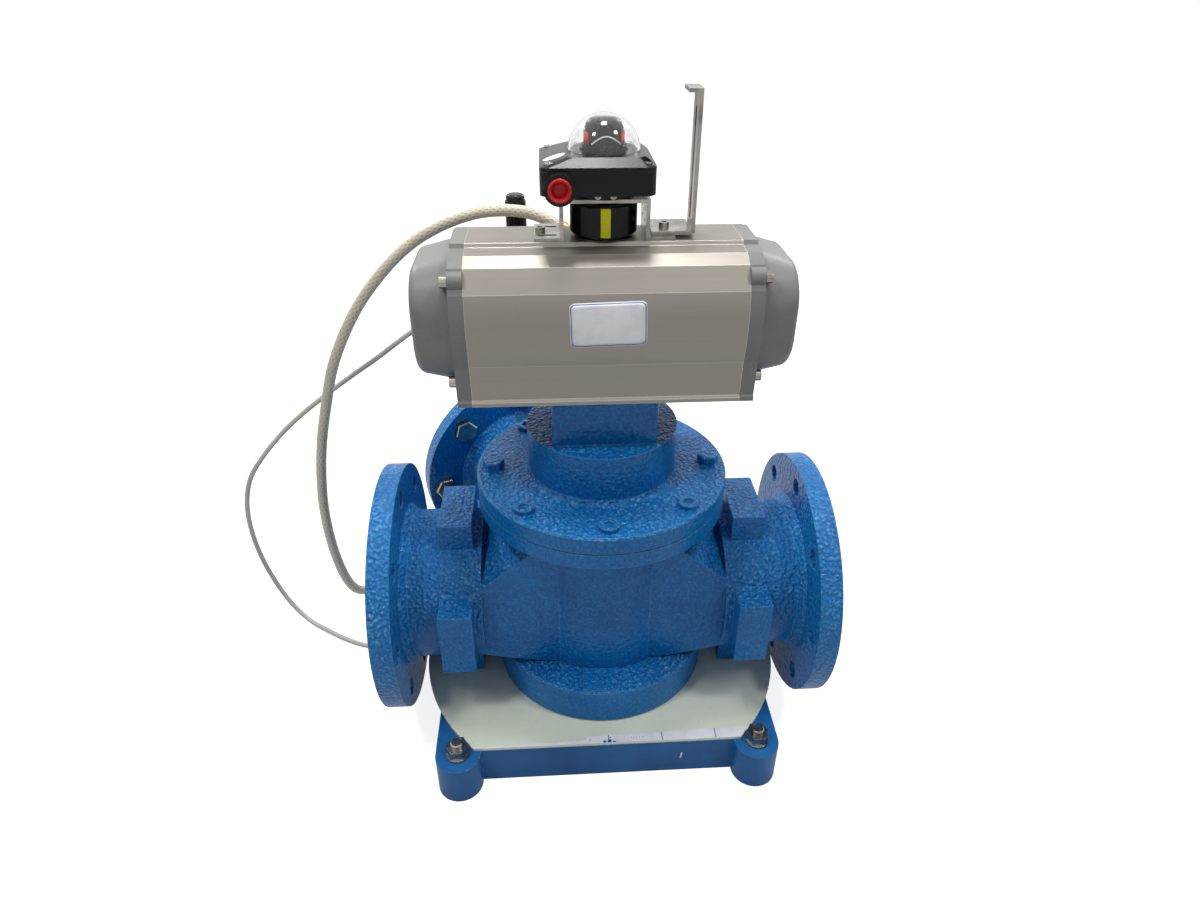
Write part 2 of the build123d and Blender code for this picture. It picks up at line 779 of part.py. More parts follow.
# Actuator body: an extruded profile bored for two pistons
cap_screw_spots = [
    (side * cap_screw_y, actuator_foot + level)
    for side in (-1, 1)
    for level in (cap_screw_low, cap_screw_high)
]
with BuildPart() as actuator_body:
    extrude(actuator_outline(Plane.YZ.offset(-cap_length_half)), amount=actuator_length)
    with BuildSketch(Plane.XZ.offset(-solenoid_pad_y)):
        with Locations((solenoid_mid, solenoid_foot + solenoid_height / 2)):
            Rectangle(solenoid_left + solenoid_right, solenoid_height)
    extrude(amount=12)
    with BuildSketch(Plane.YZ.offset(-cap_length_half)):
        with Locations((0, actuator_mid)):
            Circle(piston_bore / 2)
    extrude(amount=actuator_length, mode=Mode.SUBTRACT)
    with BuildSketch(Plane.XY.offset(actuator_foot)):
        Circle(journal_low_radius + journal_bush)
    extrude(amount=actuator_height / 2, mode=Mode.SUBTRACT)
    with BuildSketch(Plane.XY.offset(actuator_mid)):
        Circle(journal_top_radius + journal_bush)
    extrude(amount=actuator_height / 2, mode=Mode.SUBTRACT)
    with BuildSketch(Plane.XY.offset(actuator_foot)):
        with GridLocations(2 * mount_stud_half, 2 * mount_stud_half, 2, 2):
            Circle(mount_stud_diameter / 2)
    extrude(amount=mount_stud_length - mount_stud_depth, mode=Mode.SUBTRACT)
    # tapped holes for the cap screws and for the travel stops
    with BuildSketch(Plane.YZ.offset(-cap_length_half)):
        with Locations(*cap_screw_spots):
            Circle(cap_screw_diameter / 2)
    extrude(amount=actuator_length, mode=Mode.SUBTRACT)
    with BuildSketch(Plane.XZ.offset(-solenoid_pad_y)):
        with Locations((-stop_spread, actuator_foot + stop_level), (stop_spread, actuator_foot + stop_level)):
            Circle(stop_diameter / 2)
    extrude(amount=solenoid_pad_y - 26, mode=Mode.SUBTRACT)
    # tapped holes for the bracket screws and the solenoid screws
    with BuildSketch(Plane.XY.offset(actuator_top)):
        with Locations((-bracket_screw_x, 0), (side_screw_x, side_screw_y)):
            Circle(top_screw_diameter / 2)
    extrude(amount=-top_screw_bite, mode=Mode.SUBTRACT)
    with BuildSketch(Plane.XZ.offset(-solenoid_pad_y)):
        with Locations(*solenoid_screw_spots):
            Circle(top_screw_diameter / 2)
    extrude(amount=solenoid_screw_bite, mode=Mode.SUBTRACT)
save(actuator_body, "actuator_body")

# Studs that hold the actuator on the bonnet
with BuildPart() as actuator_studs:
    with BuildSketch(Plane.XY.offset(actuator_foot - mount_stud_depth)):
        with GridLocations(2 * mount_stud_half, 2 * mount_stud_half, 2, 2):
            Circle(mount_stud_diameter / 2)
    extrude(amount=mount_stud_length)
save(actuator_studs, "actuator_studs")

# End caps: a plate with screw ears, a stepped dome and a locating spigot
with BuildPart() as end_cap_right:
    extrude(actuator_outline(Plane.YZ.offset(cap_length_half)), amount=cap_plate)
    with BuildSketch(Plane.YZ.offset(cap_length_half)):
        with Locations(*cap_screw_spots):
            Circle(cap_ear_radius)
    extrude(amount=cap_plate)
    with BuildSketch(Plane.YZ.offset(cap_length_half + cap_plate)):
        with Locations((0, actuator_mid)):
            RectangleRounded(2 * dome_root_half_width, 2 * dome_root_half_height, dome_root_corner)
    with BuildSketch(Plane.YZ.offset(cap_length_half + cap_plate + dome_length)):
        with Locations((0, actuator_mid)):
            RectangleRounded(2 * dome_half_width, 2 * dome_half_height, dome_corner)
    loft()
    fillet(end_cap_right.faces().sort_by(Axis.X)[-1].edges(), dome_edge)
    with BuildSketch(Plane.YZ.offset(cap_length_half)):
        with Locations((0, actuator_mid)):
            Circle(piston_radius)
    extrude(amount=-cap_spigot)
    with BuildSketch(Plane.YZ.offset(cap_length_half - cap_spigot)):
        with Locations((0, actuator_mid)):
            Circle(dome_half_height - cap_wall)
    extrude(amount=cap_spigot + cap_plate + dome_length - cap_wall - 2, mode=Mode.SUBTRACT)
    with BuildSketch(Plane.YZ.offset(cap_length_half - cap_spigot + 0.6)):
        with Locations((0, actuator_mid)):
            Circle(piston_radius)
            Circle(piston_radius - 2, mode=Mode.SUBTRACT)
    extrude(amount=cap_spigot - 1.2, mode=Mode.SUBTRACT)
    with BuildSketch(Plane.YZ.offset(cap_length_half)):
        with Locations(*cap_screw_spots):
            Circle(cap_screw_diameter / 2 + 0.3)
    extrude(amount=cap_plate, mode=Mode.SUBTRACT)
save(end_cap_right, "end_cap_right")

with BuildPart() as end_cap_left:
    mirror(end_cap_right.part, about=Plane.YZ)
save(end_cap_left, "end_cap_left")

with BuildPart() as end_cap_seals:
    with BuildSketch(Plane.YZ.offset(cap_length_half - cap_spigot + 0.6)):
        with Locations((0, actuator_mid)):
            Circle(piston_radius + 0.2)
            Circle(piston_radius - 2, mode=Mode.SUBTRACT)
    extrude(amount=cap_spigot - 1.2)
    mirror(about=Plane.YZ)
save(end_cap_seals, "end_cap_seals")

cap_screw = socket_screw(cap_screw_diameter * 0.82, cap_screw_diameter, cap_screw_diameter, cap_plate + 14)
with BuildPart() as end_cap_screws:
    for side in (-1, 1):
        outer_face = side * (cap_length_half + cap_plate)
        with Locations(*[Location((outer_face, y, z), (0, side * 90, 0)) for y, z in cap_screw_spots]):
            add(cap_screw)
save(end_cap_screws, "end_cap_screws")

# Travel stops on the back of the actuator
stop_screw = socket_screw(stop_diameter / 2, 6, stop_diameter, 44)
stop_nut = hex_nut(13, 5, stop_diameter)
with BuildPart() as travel_stops:
    with Locations(*[
        Location((side * stop_spread, stop_face + 12, actuator_foot + stop_level), (-90, 0, 0))
        for side in (-1, 1)
    ]):
        add(stop_screw)
    with Locations(*[
        Location((side * stop_spread, stop_face, actuator_foot + stop_level), (-90, 0, 0)) for side in (-1, 1)
    ]):
        add(stop_nut)
save(travel_stops, "travel_stops")

# Pinion bushes and the washer above
low_bush_level = actuator_foot + 0.5
top_bush_level = actuator_top - 6.5
with BuildPart() as pinion_bushes:
    add(ring(journal_low_radius + journal_bush, journal_low_radius + shaft_gap, 8, low_bush_level))
    add(ring(journal_top_radius + journal_bush, journal_top_radius + shaft_gap, 6, top_bush_level))
save(pinion_bushes, "pinion_bushes")

with BuildPart() as pinion_washer:
    add(ring(journal_top_radius + 6, journal_top_radius + 0.2, 1, actuator_top))
save(pinion_washer, "pinion_washer")


def involute_tooth():
    """Outline of one pinion tooth pointing along X, with involute flanks."""
    base_radius = pitch_radius * math.cos(math.radians(pressure_angle))
    tip_radius = pitch_radius + tooth_addendum * gear_module
    pitch_half = (math.pi * gear_module - tooth_backlash) / (4 * pitch_radius)
    pitch_roll = math.tan(math.radians(pressure_angle)) - math.radians(pressure_angle)
    flank = []
    for step in range(5):
        radius = base_radius + (tip_radius - base_radius) * step / 4
        roll = math.acos(base_radius / radius)
        half = pitch_half + pitch_roll - (math.tan(roll) - roll)
        flank.append((radius * math.cos(half), radius * math.sin(half)))
    other = [(x, -y) for x, y in flank]
    inside = pitch_radius - (tooth_root + 0.4) * gear_module
    with BuildSketch() as tooth:
        with BuildLine():
            Spline(*flank)
            Line(flank[-1], other[-1])
            Spline(*other)
            Polyline(flank[0], (inside, flank[0][1]), (inside, -flank[0][1]), other[0])
        make_face()
    return tooth.sketch


# Pinion: toothed shaft with a socket below and a drive above
root_radius = pitch_radius - tooth_root * gear_module
pinion_top = actuator_top + coupling_rise
with BuildPart() as pinion:
    with BuildSketch(Plane.XY.offset(pinion_low)):
        Circle(journal_low_radius)
    extrude(amount=actuator_foot + 22 - pinion_low)
    with BuildSketch(Plane.XY.offset(actuator_foot + 22)):
        Circle(root_radius - 1.5)
    extrude(amount=actuator_top - 16 - actuator_foot - 22)
    with BuildSketch(Plane.XY.offset(actuator_mid - gear_face / 2)):
        Circle(root_radius)
        with PolarLocations(0, pinion_teeth):
            add(involute_tooth())
    extrude(amount=gear_face)
    with BuildSketch(Plane.XY.offset(actuator_top - 16)):
        Circle(journal_top_radius)
    extrude(amount=16 + coupling_rise - 0.2)
    with BuildSketch(Plane.XY.offset(actuator_top + 1.2)):
        Circle(journal_top_radius + 1)
        Circle(journal_top_radius - 1.5, mode=Mode.SUBTRACT)
    extrude(amount=circlip_thickness - 0.4, mode=Mode.SUBTRACT)
    with BuildSketch(Plane.XY.offset(pinion_top - 0.2)):
        Rectangle(drive_square, drive_square)
    extrude(amount=drive_depth)
    with BuildSketch(Plane.XY.offset(pinion_low)):
        Rectangle(stem_square + 2 * slip_gap, stem_square + 2 * slip_gap)
    extrude(amount=pinion_socket, mode=Mode.SUBTRACT)
save(pinion, "pinion")

with BuildPart() as pinion_circlip:
    with BuildSketch(Plane.XY.offset(actuator_top + 1.3)):
        Circle(journal_top_radius + 3.5)
        Circle(journal_top_radius - 1.4, mode=Mode.SUBTRACT)
        with Locations((0, -journal_top_radius)):
            Rectangle(9, 10, mode=Mode.SUBTRACT)
    extrude(amount=circlip_thickness - 0.6)
save(pinion_circlip, "pinion_circlip")

# Rack pistons
rack_root = pitch_radius + tooth_root * gear_module
rack_tip = pitch_radius - tooth_addendum * gear_module
pitch_length = math.pi * gear_module
slope = math.tan(math.radians(pressure_angle))
pitch_half_width = (pitch_length / 2 - tooth_backlash / 2) / 2
tip_half_width = pitch_half_width - tooth_addendum * gear_module * slope
root_half_width = pitch_half_width + tooth_root * gear_module * slope
rack_tooth_spots = [(index + 0.5) * pitch_length for index in range(-2, 5)]
with BuildPart() as piston_left:
    with BuildSketch(Plane.YZ.offset(-piston_rest - piston_thickness)):
        with Locations((0, actuator_mid)):
            Circle(piston_radius)
    extrude(amount=piston_thickness)
    with BuildSketch(Plane.YZ.offset(-piston_rest - piston_thickness)):
        with Locations((0, actuator_mid)):
            Circle(piston_radius - 12)
    extrude(amount=7, taper=12, mode=Mode.SUBTRACT)
    with BuildSketch(Plane.XY.offset(actuator_mid - rack_face / 2)):
        with BuildLine():
            Polyline(
                (-piston_rest - 2, rack_root),
                (rack_reach, rack_root),
                (rack_reach, rack_back),
                (-piston_rest - 2, rack_back),
                close=True,
            )
        make_face()
        for spot in rack_tooth_spots:
            with BuildLine():
                Polyline(
                    (spot - root_half_width, rack_root + 0.5),
                    (spot - root_half_width, rack_root),
                    (spot - tip_half_width, rack_tip),
                    (spot + tip_half_width, rack_tip),
                    (spot + root_half_width, rack_root),
                    (spot + root_half_width, rack_root + 0.5),
                    close=True,
                )
            make_face()
    extrude(amount=rack_face)
    with BuildSketch(Plane.YZ.offset(-piston_rest - piston_thickness / 2 - seal_width / 2)):
        with Locations((0, actuator_mid)):
            Circle(piston_radius + 1)
            Circle(piston_radius - seal_depth, mode=Mode.SUBTRACT)
    extrude(amount=seal_width, mode=Mode.SUBTRACT)
save(piston_left, "piston_left")

with BuildPart() as piston_right:
    with Locations(Location((0, 0, 0), (0, 0, 180))):
        add(piston_left.part)
save(piston_right, "piston_right")

with BuildPart() as piston_seal_left:
    with BuildSketch(Plane.YZ.offset(-piston_rest - piston_thickness / 2 - seal_width / 2 + 0.1)):
        with Locations((0, actuator_mid)):
            Circle(piston_bore / 2 - 0.1)
            Circle(piston_radius - seal_depth, mode=Mode.SUBTRACT)
    extrude(amount=seal_width - 0.2)
save(piston_seal_left, "piston_seal_left")

with BuildPart() as piston_seal_right:
    with Locations(Location((0, 0, 0), (0, 0, 180))):
        add(piston_seal_left.part)
save(piston_seal_right, "piston_seal_right")

# Position coupling above the pinion, with a stripe let into its front
coupling_foot = actuator_top + coupling_rise
with BuildPart() as position_coupling:
    with BuildSketch(Plane.XY.offset(coupling_foot)):
        Circle(coupling_radius)
    extrude(amount=coupling_height)
    fillet(position_coupling.edges().filter_by(GeomType.CIRCLE), 1.5)
    with BuildSketch(Plane.XY.offset(coupling_foot)):
        Rectangle(drive_square + 2 * slip_gap, drive_square + 2 * slip_gap)
    extrude(amount=drive_depth + 1, mode=Mode.SUBTRACT)
    with BuildSketch(Plane.XY.offset(coupling_foot + coupling_height)):
        Rectangle(2 * shaft_radius * 2, 4)
    extrude(amount=-5, mode=Mode.SUBTRACT)
    with BuildSketch(Plane.XZ.offset(coupling_radius - stripe_depth)):
        with Locations((0, coupling_foot + coupling_height / 2)):
            Rectangle(stripe_width, coupling_height)
    extrude(amount=stripe_depth + 1, mode=Mode.SUBTRACT)
save(position_coupling, "position_coupling")

with BuildPart() as coupling_stripe:
    with BuildSketch(Plane.XY.offset(coupling_foot + 1)):
        Circle(coupling_radius)
        with Locations((0, -coupling_radius + stripe_depth / 2)):
            Rectangle(stripe_width - 0.1, stripe_depth, mode=Mode.INTERSECT)
    extrude(amount=coupling_height - 2)
save(coupling_stripe, "coupling_stripe")

# Stainless bracket that carries the switch box
bracket_top = actuator_top + bracket_height
leg_inner = bracket_leg_half - bracket_thickness
with BuildPart() as switch_bracket:
    with BuildSketch(Plane.XZ.offset(-bracket_depth_half)):
        with BuildLine():
            Polyline(
                (0, bracket_top),
                (bracket_leg_half, bracket_top),
                (bracket_leg_half, actuator_top + bracket_thickness),
                (bracket_foot_half, actuator_top + bracket_thickness),
                (bracket_foot_half, actuator_top),
                (leg_inner, actuator_top),
                (leg_inner, bracket_top - bracket_thickness),
                (0, bracket_top - bracket_thickness),
            )
            mirror(about=Plane.YZ)
        make_face()
    extrude(amount=2 * bracket_depth_half)
    with BuildSketch(Plane.XY.offset(actuator_top)):
        for side in (-1, 1):
            with Locations(*[(side * foot_slot_x, y) for y in (-foot_slot_y, foot_slot_y)]):
                SlotOverall(foot_slot_length, foot_slot_width)
        with Locations((-bracket_screw_x, 0), (side_screw_x, side_screw_y)):
            Circle(top_screw_diameter / 2 + 0.3)
    extrude(amount=bracket_thickness, mode=Mode.SUBTRACT)
    with BuildSketch(Plane.XY.offset(bracket_top)):
        Circle(10)
        with GridLocations(36, 30, 2, 2):
            Circle(2.2)
    extrude(amount=-bracket_thickness, mode=Mode.SUBTRACT)
    with BuildSketch(Plane.YZ.offset(leg_inner)):
        with Locations((0, actuator_top + 18)):
            with GridLocations(18, 9, 2, 2):
                Circle(1.8)
    extrude(amount=bracket_thickness, mode=Mode.SUBTRACT)
save(switch_bracket, "switch_bracket")

# Slotted side bracket standing on the right foot
side_level = actuator_top + bracket_thickness
with BuildPart() as side_bracket:
    with BuildSketch(Plane.XY.offset(side_level)):
        with Locations(((side_foot_start + side_upright_x) / 2, (side_foot_back - side_foot_front) / 2)):
            Rectangle(side_upright_x - side_foot_start, side_foot_front + side_foot_back)
    extrude(amount=bracket_thickness)
    with BuildSketch(Plane.YZ.offset(side_upright_x)):
        with Locations((0, side_level + side_upright_height / 2)):
            Rectangle(2 * side_upright_half, side_upright_height)
    extrude(amount=bracket_thickness)
    with BuildSketch(Plane.YZ.offset(side_upright_x)):
        with Locations((0, side_level + bracket_thickness + 5 + side_slot_length / 2)):
            SlotOverall(side_slot_length, side_slot_width, rotation=90)
    extrude(amount=bracket_thickness, mode=Mode.SUBTRACT)
    with BuildSketch(Plane.XY.offset(side_level + side_upright_height - bracket_thickness)):
        with Locations((side_upright_x - side_tab_reach / 2, 0)):
            Rectangle(side_tab_reach, 2 * side_upright_half)
    extrude(amount=bracket_thickness)
    with BuildSketch(Plane.XY.offset(side_level)):
        with Locations((side_screw_x, side_screw_y)):
            Circle(top_screw_diameter / 2 + 0.3)
    extrude(amount=bracket_thickness, mode=Mode.SUBTRACT)
save(side_bracket, "side_bracket")

side_screw_length = 2 * bracket_thickness + top_screw_bite
side_screw = socket_screw(top_screw_diameter * 0.85, top_screw_head, top_screw_diameter, side_screw_length)
foot_screw = socket_screw(
    top_screw_diameter * 0.85,
    top_screw_head,
    top_screw_diameter,
    bracket_thickness + top_screw_bite,
)
with BuildPart() as bracket_screws:
    with Locations((-bracket_screw_x, 0, actuator_top + bracket_thickness)):
        add(foot_screw)
    with Locations((side_screw_x, side_screw_y, side_level + bracket_thickness)):
        add(side_screw)
save(bracket_screws, "bracket_screws")

# Switch box: housing with hub, corner posts and conduit boss
box_floor = bracket_top + hub_height
box_top = box_floor + box_height
box_length = box_left + box_right
box_mid = (box_right - box_left) / 2
lid_top = box_top + lid_height
post_spots = [
    (box_mid + sx * (box_length / 2 - post_inset), sy * (box_half_depth - post_inset))
    for sx in (-1, 1)
    for sy in (-1, 1)
]
lid_seat = box_top + lid_rim
boss_level = box_floor + boss_rise
hub_screw_spots = [(side * hub_screw_x, bracket_top + hub_height / 2) for side in (-1, 1)]
with BuildPart() as switch_housing:
    with BuildSketch(Plane.XY.offset(box_floor)):
        with Locations((box_mid, 0)):
            RectangleRounded(box_length, 2 * box_half_depth, 8)
    extrude(amount=box_height)
    with BuildSketch(Plane.XY.offset(box_floor + box_wall)):
        with Locations((box_mid, 0)):
            RectangleRounded(box_length - 2 * box_wall, 2 * (box_half_depth - box_wall), 5)
        with Locations(*post_spots):
            Circle(post_radius, mode=Mode.SUBTRACT)
    extrude(amount=box_height - box_wall, mode=Mode.SUBTRACT)
    with BuildSketch(Plane.XY.offset(bracket_top)):
        Circle(hub_radius)
    extrude(amount=hub_height)
    with BuildSketch(Plane.XY.offset(bracket_top)):
        Circle(shaft_radius + 0.3)
    extrude(amount=hub_height + box_wall, mode=Mode.SUBTRACT)
    with BuildSketch(Plane.XZ.offset(hub_screw_y)):
        with Locations(*hub_screw_spots):
            Circle(hub_screw_head + 0.3)
    extrude(amount=hub_screw_length, mode=Mode.SUBTRACT)
    with BuildSketch(Plane.XZ.offset(hub_screw_y)):
        with Locations(*hub_screw_spots):
            Circle(hub_screw_diameter / 2)
    extrude(amount=-hub_screw_length, mode=Mode.SUBTRACT)
    with BuildSketch(Plane.XZ.offset(box_half_depth)):
        with Locations((-boss_x, boss_level)):
            Circle(plug_boss_radius)
    extrude(amount=boss_length)
    with BuildSketch(Plane.XZ.offset(box_half_depth + boss_length)):
        with Locations((-boss_x, boss_level)):
            Circle(red_plug_radius - 2)
    extrude(amount=-boss_length - box_wall, mode=Mode.SUBTRACT)
    with BuildSketch(Plane.XY.offset(box_top)):
        with Locations(*post_spots):
            Circle(lid_screw_diameter / 2)
    extrude(amount=-lid_screw_bite - 2, mode=Mode.SUBTRACT)
save(switch_housing, "switch_housing")

with BuildPart() as conduit_plug:
    with BuildSketch(Plane.XZ.offset(box_half_depth + boss_length)):
        with Locations((-boss_x, boss_level)):
            Circle(red_plug_radius)
    extrude(amount=3)
    with BuildSketch(Plane.XZ.offset(box_half_depth + boss_length + 3)):
        with Locations((-boss_x, boss_level)):
            Circle(red_plug_radius - 3)
    extrude(amount=-1.8, mode=Mode.SUBTRACT)
    with BuildSketch(Plane.XZ.offset(box_half_depth + boss_length)):
        with Locations((-boss_x, boss_level)):
            Circle(red_plug_radius - 2)
    extrude(amount=-boss_length)
save(conduit_plug, "conduit_plug")

# Lid: straight rim, then sloping up to the platform that carries the dome
with BuildPart() as switch_lid:
    with BuildSketch(Plane.XY.offset(box_top)):
        with Locations((box_mid, 0)):
            RectangleRounded(box_length, 2 * box_half_depth, 8)
    extrude(amount=lid_rim)
    with BuildSketch(Plane.XY.offset(box_top + lid_rim)):
        with Locations((box_mid, 0)):
            RectangleRounded(box_length, 2 * box_half_depth, 8)
    with BuildSketch(Plane.XY.offset(lid_top)):
        RectangleRounded(2 * platform_half_x, 2 * platform_half_y, 6)
    loft()
    with BuildSketch(Plane.XY.offset(box_top)):
        with Locations((box_mid, 0)):
            RectangleRounded(box_length - 2 * box_wall, 2 * (box_half_depth - box_wall), 5)
        with Locations(*post_spots):
            Circle(post_radius + 1, mode=Mode.SUBTRACT)
    extrude(amount=lid_rim, mode=Mode.SUBTRACT)
    with BuildSketch(Plane.XY.offset(box_top)):
        Circle(indicator_skirt + 1.5)
    extrude(amount=lid_height, mode=Mode.SUBTRACT)
    with BuildSketch(Plane.XY.offset(lid_seat)):
        with Locations(*post_spots):
            Circle(lid_screw_diameter)
    extrude(amount=lid_height, mode=Mode.SUBTRACT)
    with BuildSketch(Plane.XY.offset(lid_top)):
        with Locations(*post_spots):
            Circle(lid_screw_diameter / 2 + 0.2)
    extrude(amount=-lid_height, mode=Mode.SUBTRACT)
save(switch_lid, "switch_lid")

lid_screw = socket_screw(
    lid_screw_diameter * 0.85,
    lid_screw_head,
    lid_screw_diameter,
    lid_rim + lid_screw_bite,
)
hub_screw = socket_screw(hub_screw_head, 2, hub_screw_diameter, hub_screw_length)
with BuildPart() as switch_screws:
    with Locations(*[(x, y, lid_seat) for x, y in post_spots]):
        add(lid_screw)
    with Locations(*[Location((x, -hub_screw_y, z), (90, 0, 0)) for x, z in hub_screw_spots]):
        add(hub_screw)
save(switch_screws, "switch_screws")

# Clear dome over the indicator
dome_shoulder = lid_top + 2
crown_height = dome_height - 2
sphere_radius = (dome_radius**2 + crown_height**2) / (2 * crown_height)
sphere_level = dome_shoulder + crown_height - sphere_radius
with BuildPart() as switch_dome:
    with BuildSketch(Plane.XZ):
        with BuildLine():
            Line((0, dome_shoulder), (dome_radius, dome_shoulder))
            RadiusArc((dome_radius, dome_shoulder), (0, dome_shoulder + crown_height), -sphere_radius)
            Line((0, dome_shoulder + crown_height), (0, dome_shoulder))
        make_face()
        with Locations((dome_radius / 2, lid_top + 1)):
            Rectangle(dome_radius, 2)
    revolve(axis=Axis.Z)
    with BuildSketch(Plane.XZ):
        with Locations((0, sphere_level)):
            Circle(sphere_radius - dome_wall)
        with Locations((dome_radius, lid_top + dome_height / 2)):
            Rectangle(2 * dome_radius, dome_height, mode=Mode.INTERSECT)
    revolve(axis=Axis.Z, mode=Mode.SUBTRACT)
save(switch_dome, "switch_dome")

# Indicator drum with a ribbed skirt
drum_level = lid_top + 0.8
drum_top = lid_top + dome_height - dome_wall - 1.5
with BuildPart() as indicator_drum:
    with BuildSketch(Plane.XY.offset(drum_level)):
        Circle(indicator_skirt)
        with PolarLocations(indicator_skirt, 16):
            Circle(1, mode=Mode.SUBTRACT)
    extrude(amount=3.5)
    with BuildSketch(Plane.XY.offset(drum_level)):
        Circle(indicator_radius)
    extrude(amount=drum_top - drum_level)
    fillet(indicator_drum.faces().sort_by(Axis.Z)[-1].edges(), 8)
    with BuildSketch(Plane.XY.offset(drum_level)):
        Circle(shaft_radius)
    extrude(amount=6, mode=Mode.SUBTRACT)
save(indicator_drum, "indicator_drum")

# Switch shaft, keyed into the coupling slot, with two cams
coupling_top = coupling_foot + coupling_height
with BuildPart() as switch_shaft:
    with BuildSketch(Plane.XY.offset(coupling_top - 4.5)):
        Rectangle(4 * shaft_radius - 1, 3.8)
    extrude(amount=4.5)
    with BuildSketch(Plane.XY.offset(coupling_top)):
        Circle(shaft_radius)
    extrude(amount=drum_level + 5.8 - coupling_top)
    for index, turn in enumerate((0, 90)):
        with BuildSketch(Plane.XY.offset(box_floor + box_wall + 2 + index * 5)):
            Circle(8)
            with PolarLocations(3, 1, start_angle=turn):
                Circle(7)
        extrude(amount=3.5)
save(switch_shaft, "switch_shaft")

# Circuit board with two microswitches and a terminal strip
with BuildPart() as switch_board:
    with BuildSketch(Plane.XY.offset(box_floor + box_wall)):
        with Locations((box_mid, 0)):
            Rectangle(box_length - 2 * box_wall - 6, 2 * (box_half_depth - box_wall) - 6)
        with Locations(*post_spots):
            Circle(post_radius + 1, mode=Mode.SUBTRACT)
        Circle(shaft_radius + 2, mode=Mode.SUBTRACT)
    extrude(amount=1.5)
    for side in (-1, 1):
        with BuildSketch(Plane.XY.offset(box_floor + box_wall)):
            with Locations((0, side * (switch_gap + 5))):
                Rectangle(20, 10)
        extrude(amount=11)
    with BuildSketch(Plane.XY.offset(box_floor + box_wall)):
        with Locations((-box_left + box_wall + 12, 0)):
            Rectangle(10, 38)
    extrude(amount=9)
    with BuildSketch(Plane.XY.offset(box_floor + box_wall + 9)):
        with Locations((-box_left + box_wall + 12, 0)):
            with GridLocations(0, 6, 1, 6):
                Circle(1.8)
    extrude(amount=-4, mode=Mode.SUBTRACT)
save(switch_board, "switch_board")

# Solenoid valve bolted to the pad on the back of the actuator
solenoid_back = solenoid_pad_y + solenoid_depth
with BuildPart() as solenoid_valve:
    with BuildSketch(Plane.XZ.offset(-solenoid_back)):
        with Locations((solenoid_mid, solenoid_foot + solenoid_height / 2)):
            RectangleRounded(solenoid_left + solenoid_right, solenoid_height, 3)
    extrude(amount=solenoid_depth)
    with BuildSketch(Plane.XY.offset(solenoid_top)):
        with Locations((button_x, button_y)):
            Circle(button_radius + shaft_gap)
    extrude(amount=-button_depth, mode=Mode.SUBTRACT)
    with BuildSketch(Plane.XZ.offset(-solenoid_back)):
        with Locations(*solenoid_screw_spots):
            Circle(top_screw_diameter / 2 + 0.3)
    extrude(amount=solenoid_depth, mode=Mode.SUBTRACT)
save(solenoid_valve, "solenoid_valve")

long_screw_length = solenoid_depth + solenoid_screw_bite
long_screw = socket_screw(top_screw_diameter * 0.85, 5, top_screw_diameter, long_screw_length)
with BuildPart() as solenoid_screws:
    with Locations(*[Location((x, solenoid_back, z), (-90, 0, 0)) for x, z in solenoid_screw_spots]):
        add(long_screw)
save(solenoid_screws, "solenoid_screws")

with BuildPart() as override_button:
    with BuildSketch(Plane.XY.offset(solenoid_top + button_proud)):
        with Locations((button_x, button_y)):
            Circle(button_radius)
    extrude(amount=-button_proud - button_depth + button_travel + 1)
    chamfer(override_button.faces().sort_by(Axis.Z)[-1].edges(), 0.6)
save(override_button, "override_button")

coil_foot = solenoid_foot - coil_drop
with BuildPart() as solenoid_coil:
    with BuildSketch(Plane.YZ.offset(-solenoid_left)):
        with Locations((solenoid_pad_y + 4 + coil_width / 2, coil_foot + coil_height / 2)):
            RectangleRounded(coil_width, coil_height, 5)
    extrude(amount=-coil_length)
save(solenoid_coil, "solenoid_coil")

coil_end = solenoid_left + coil_length
connector_foot = coil_foot - connector_drop
gland_start = Vector(-coil_end - connector_length + 3, connector_y, connector_foot + 12.6)
gland_out = Vector(-0.864, 0, -0.504)
with BuildPart() as solenoid_connector:
    with BuildSketch(Plane.YZ.offset(-coil_end)):
        with Locations((connector_y, connector_foot + connector_height / 2)):
            RectangleRounded(coil_width - 4, connector_height, 4)
    extrude(amount=-connector_length)
    with BuildSketch(Plane(origin=gland_start, x_dir=(0, 1, 0), z_dir=gland_out)):
        Circle(8)
    extrude(amount=gland_length, taper=14)
save(solenoid_connector, "solenoid_connector")

with BuildPart() as silencer:
    with BuildSketch(Plane.XY.offset(solenoid_top)):
        with Locations((-silencer_x, silencer_y)):
            Circle(silencer_radius * 0.65)
    extrude(amount=6)
    with BuildSketch(Plane.XY.offset(solenoid_top + 6)):
        with Locations((-silencer_x, silencer_y)):
            Circle(silencer_radius)
            with PolarLocations(silencer_radius, 20):
                Circle(0.7, mode=Mode.SUBTRACT)
    extrude(amount=silencer_height - 12)
    with BuildSketch(Plane.XY.offset(solenoid_top + silencer_height - 6)):
        with Locations((-silencer_x, silencer_y)):
            Circle(silencer_radius - 1)
    extrude(amount=6)
    fillet(silencer.faces().sort_by(Axis.Z)[-1].edges(), 3)
save(silencer, "silencer")

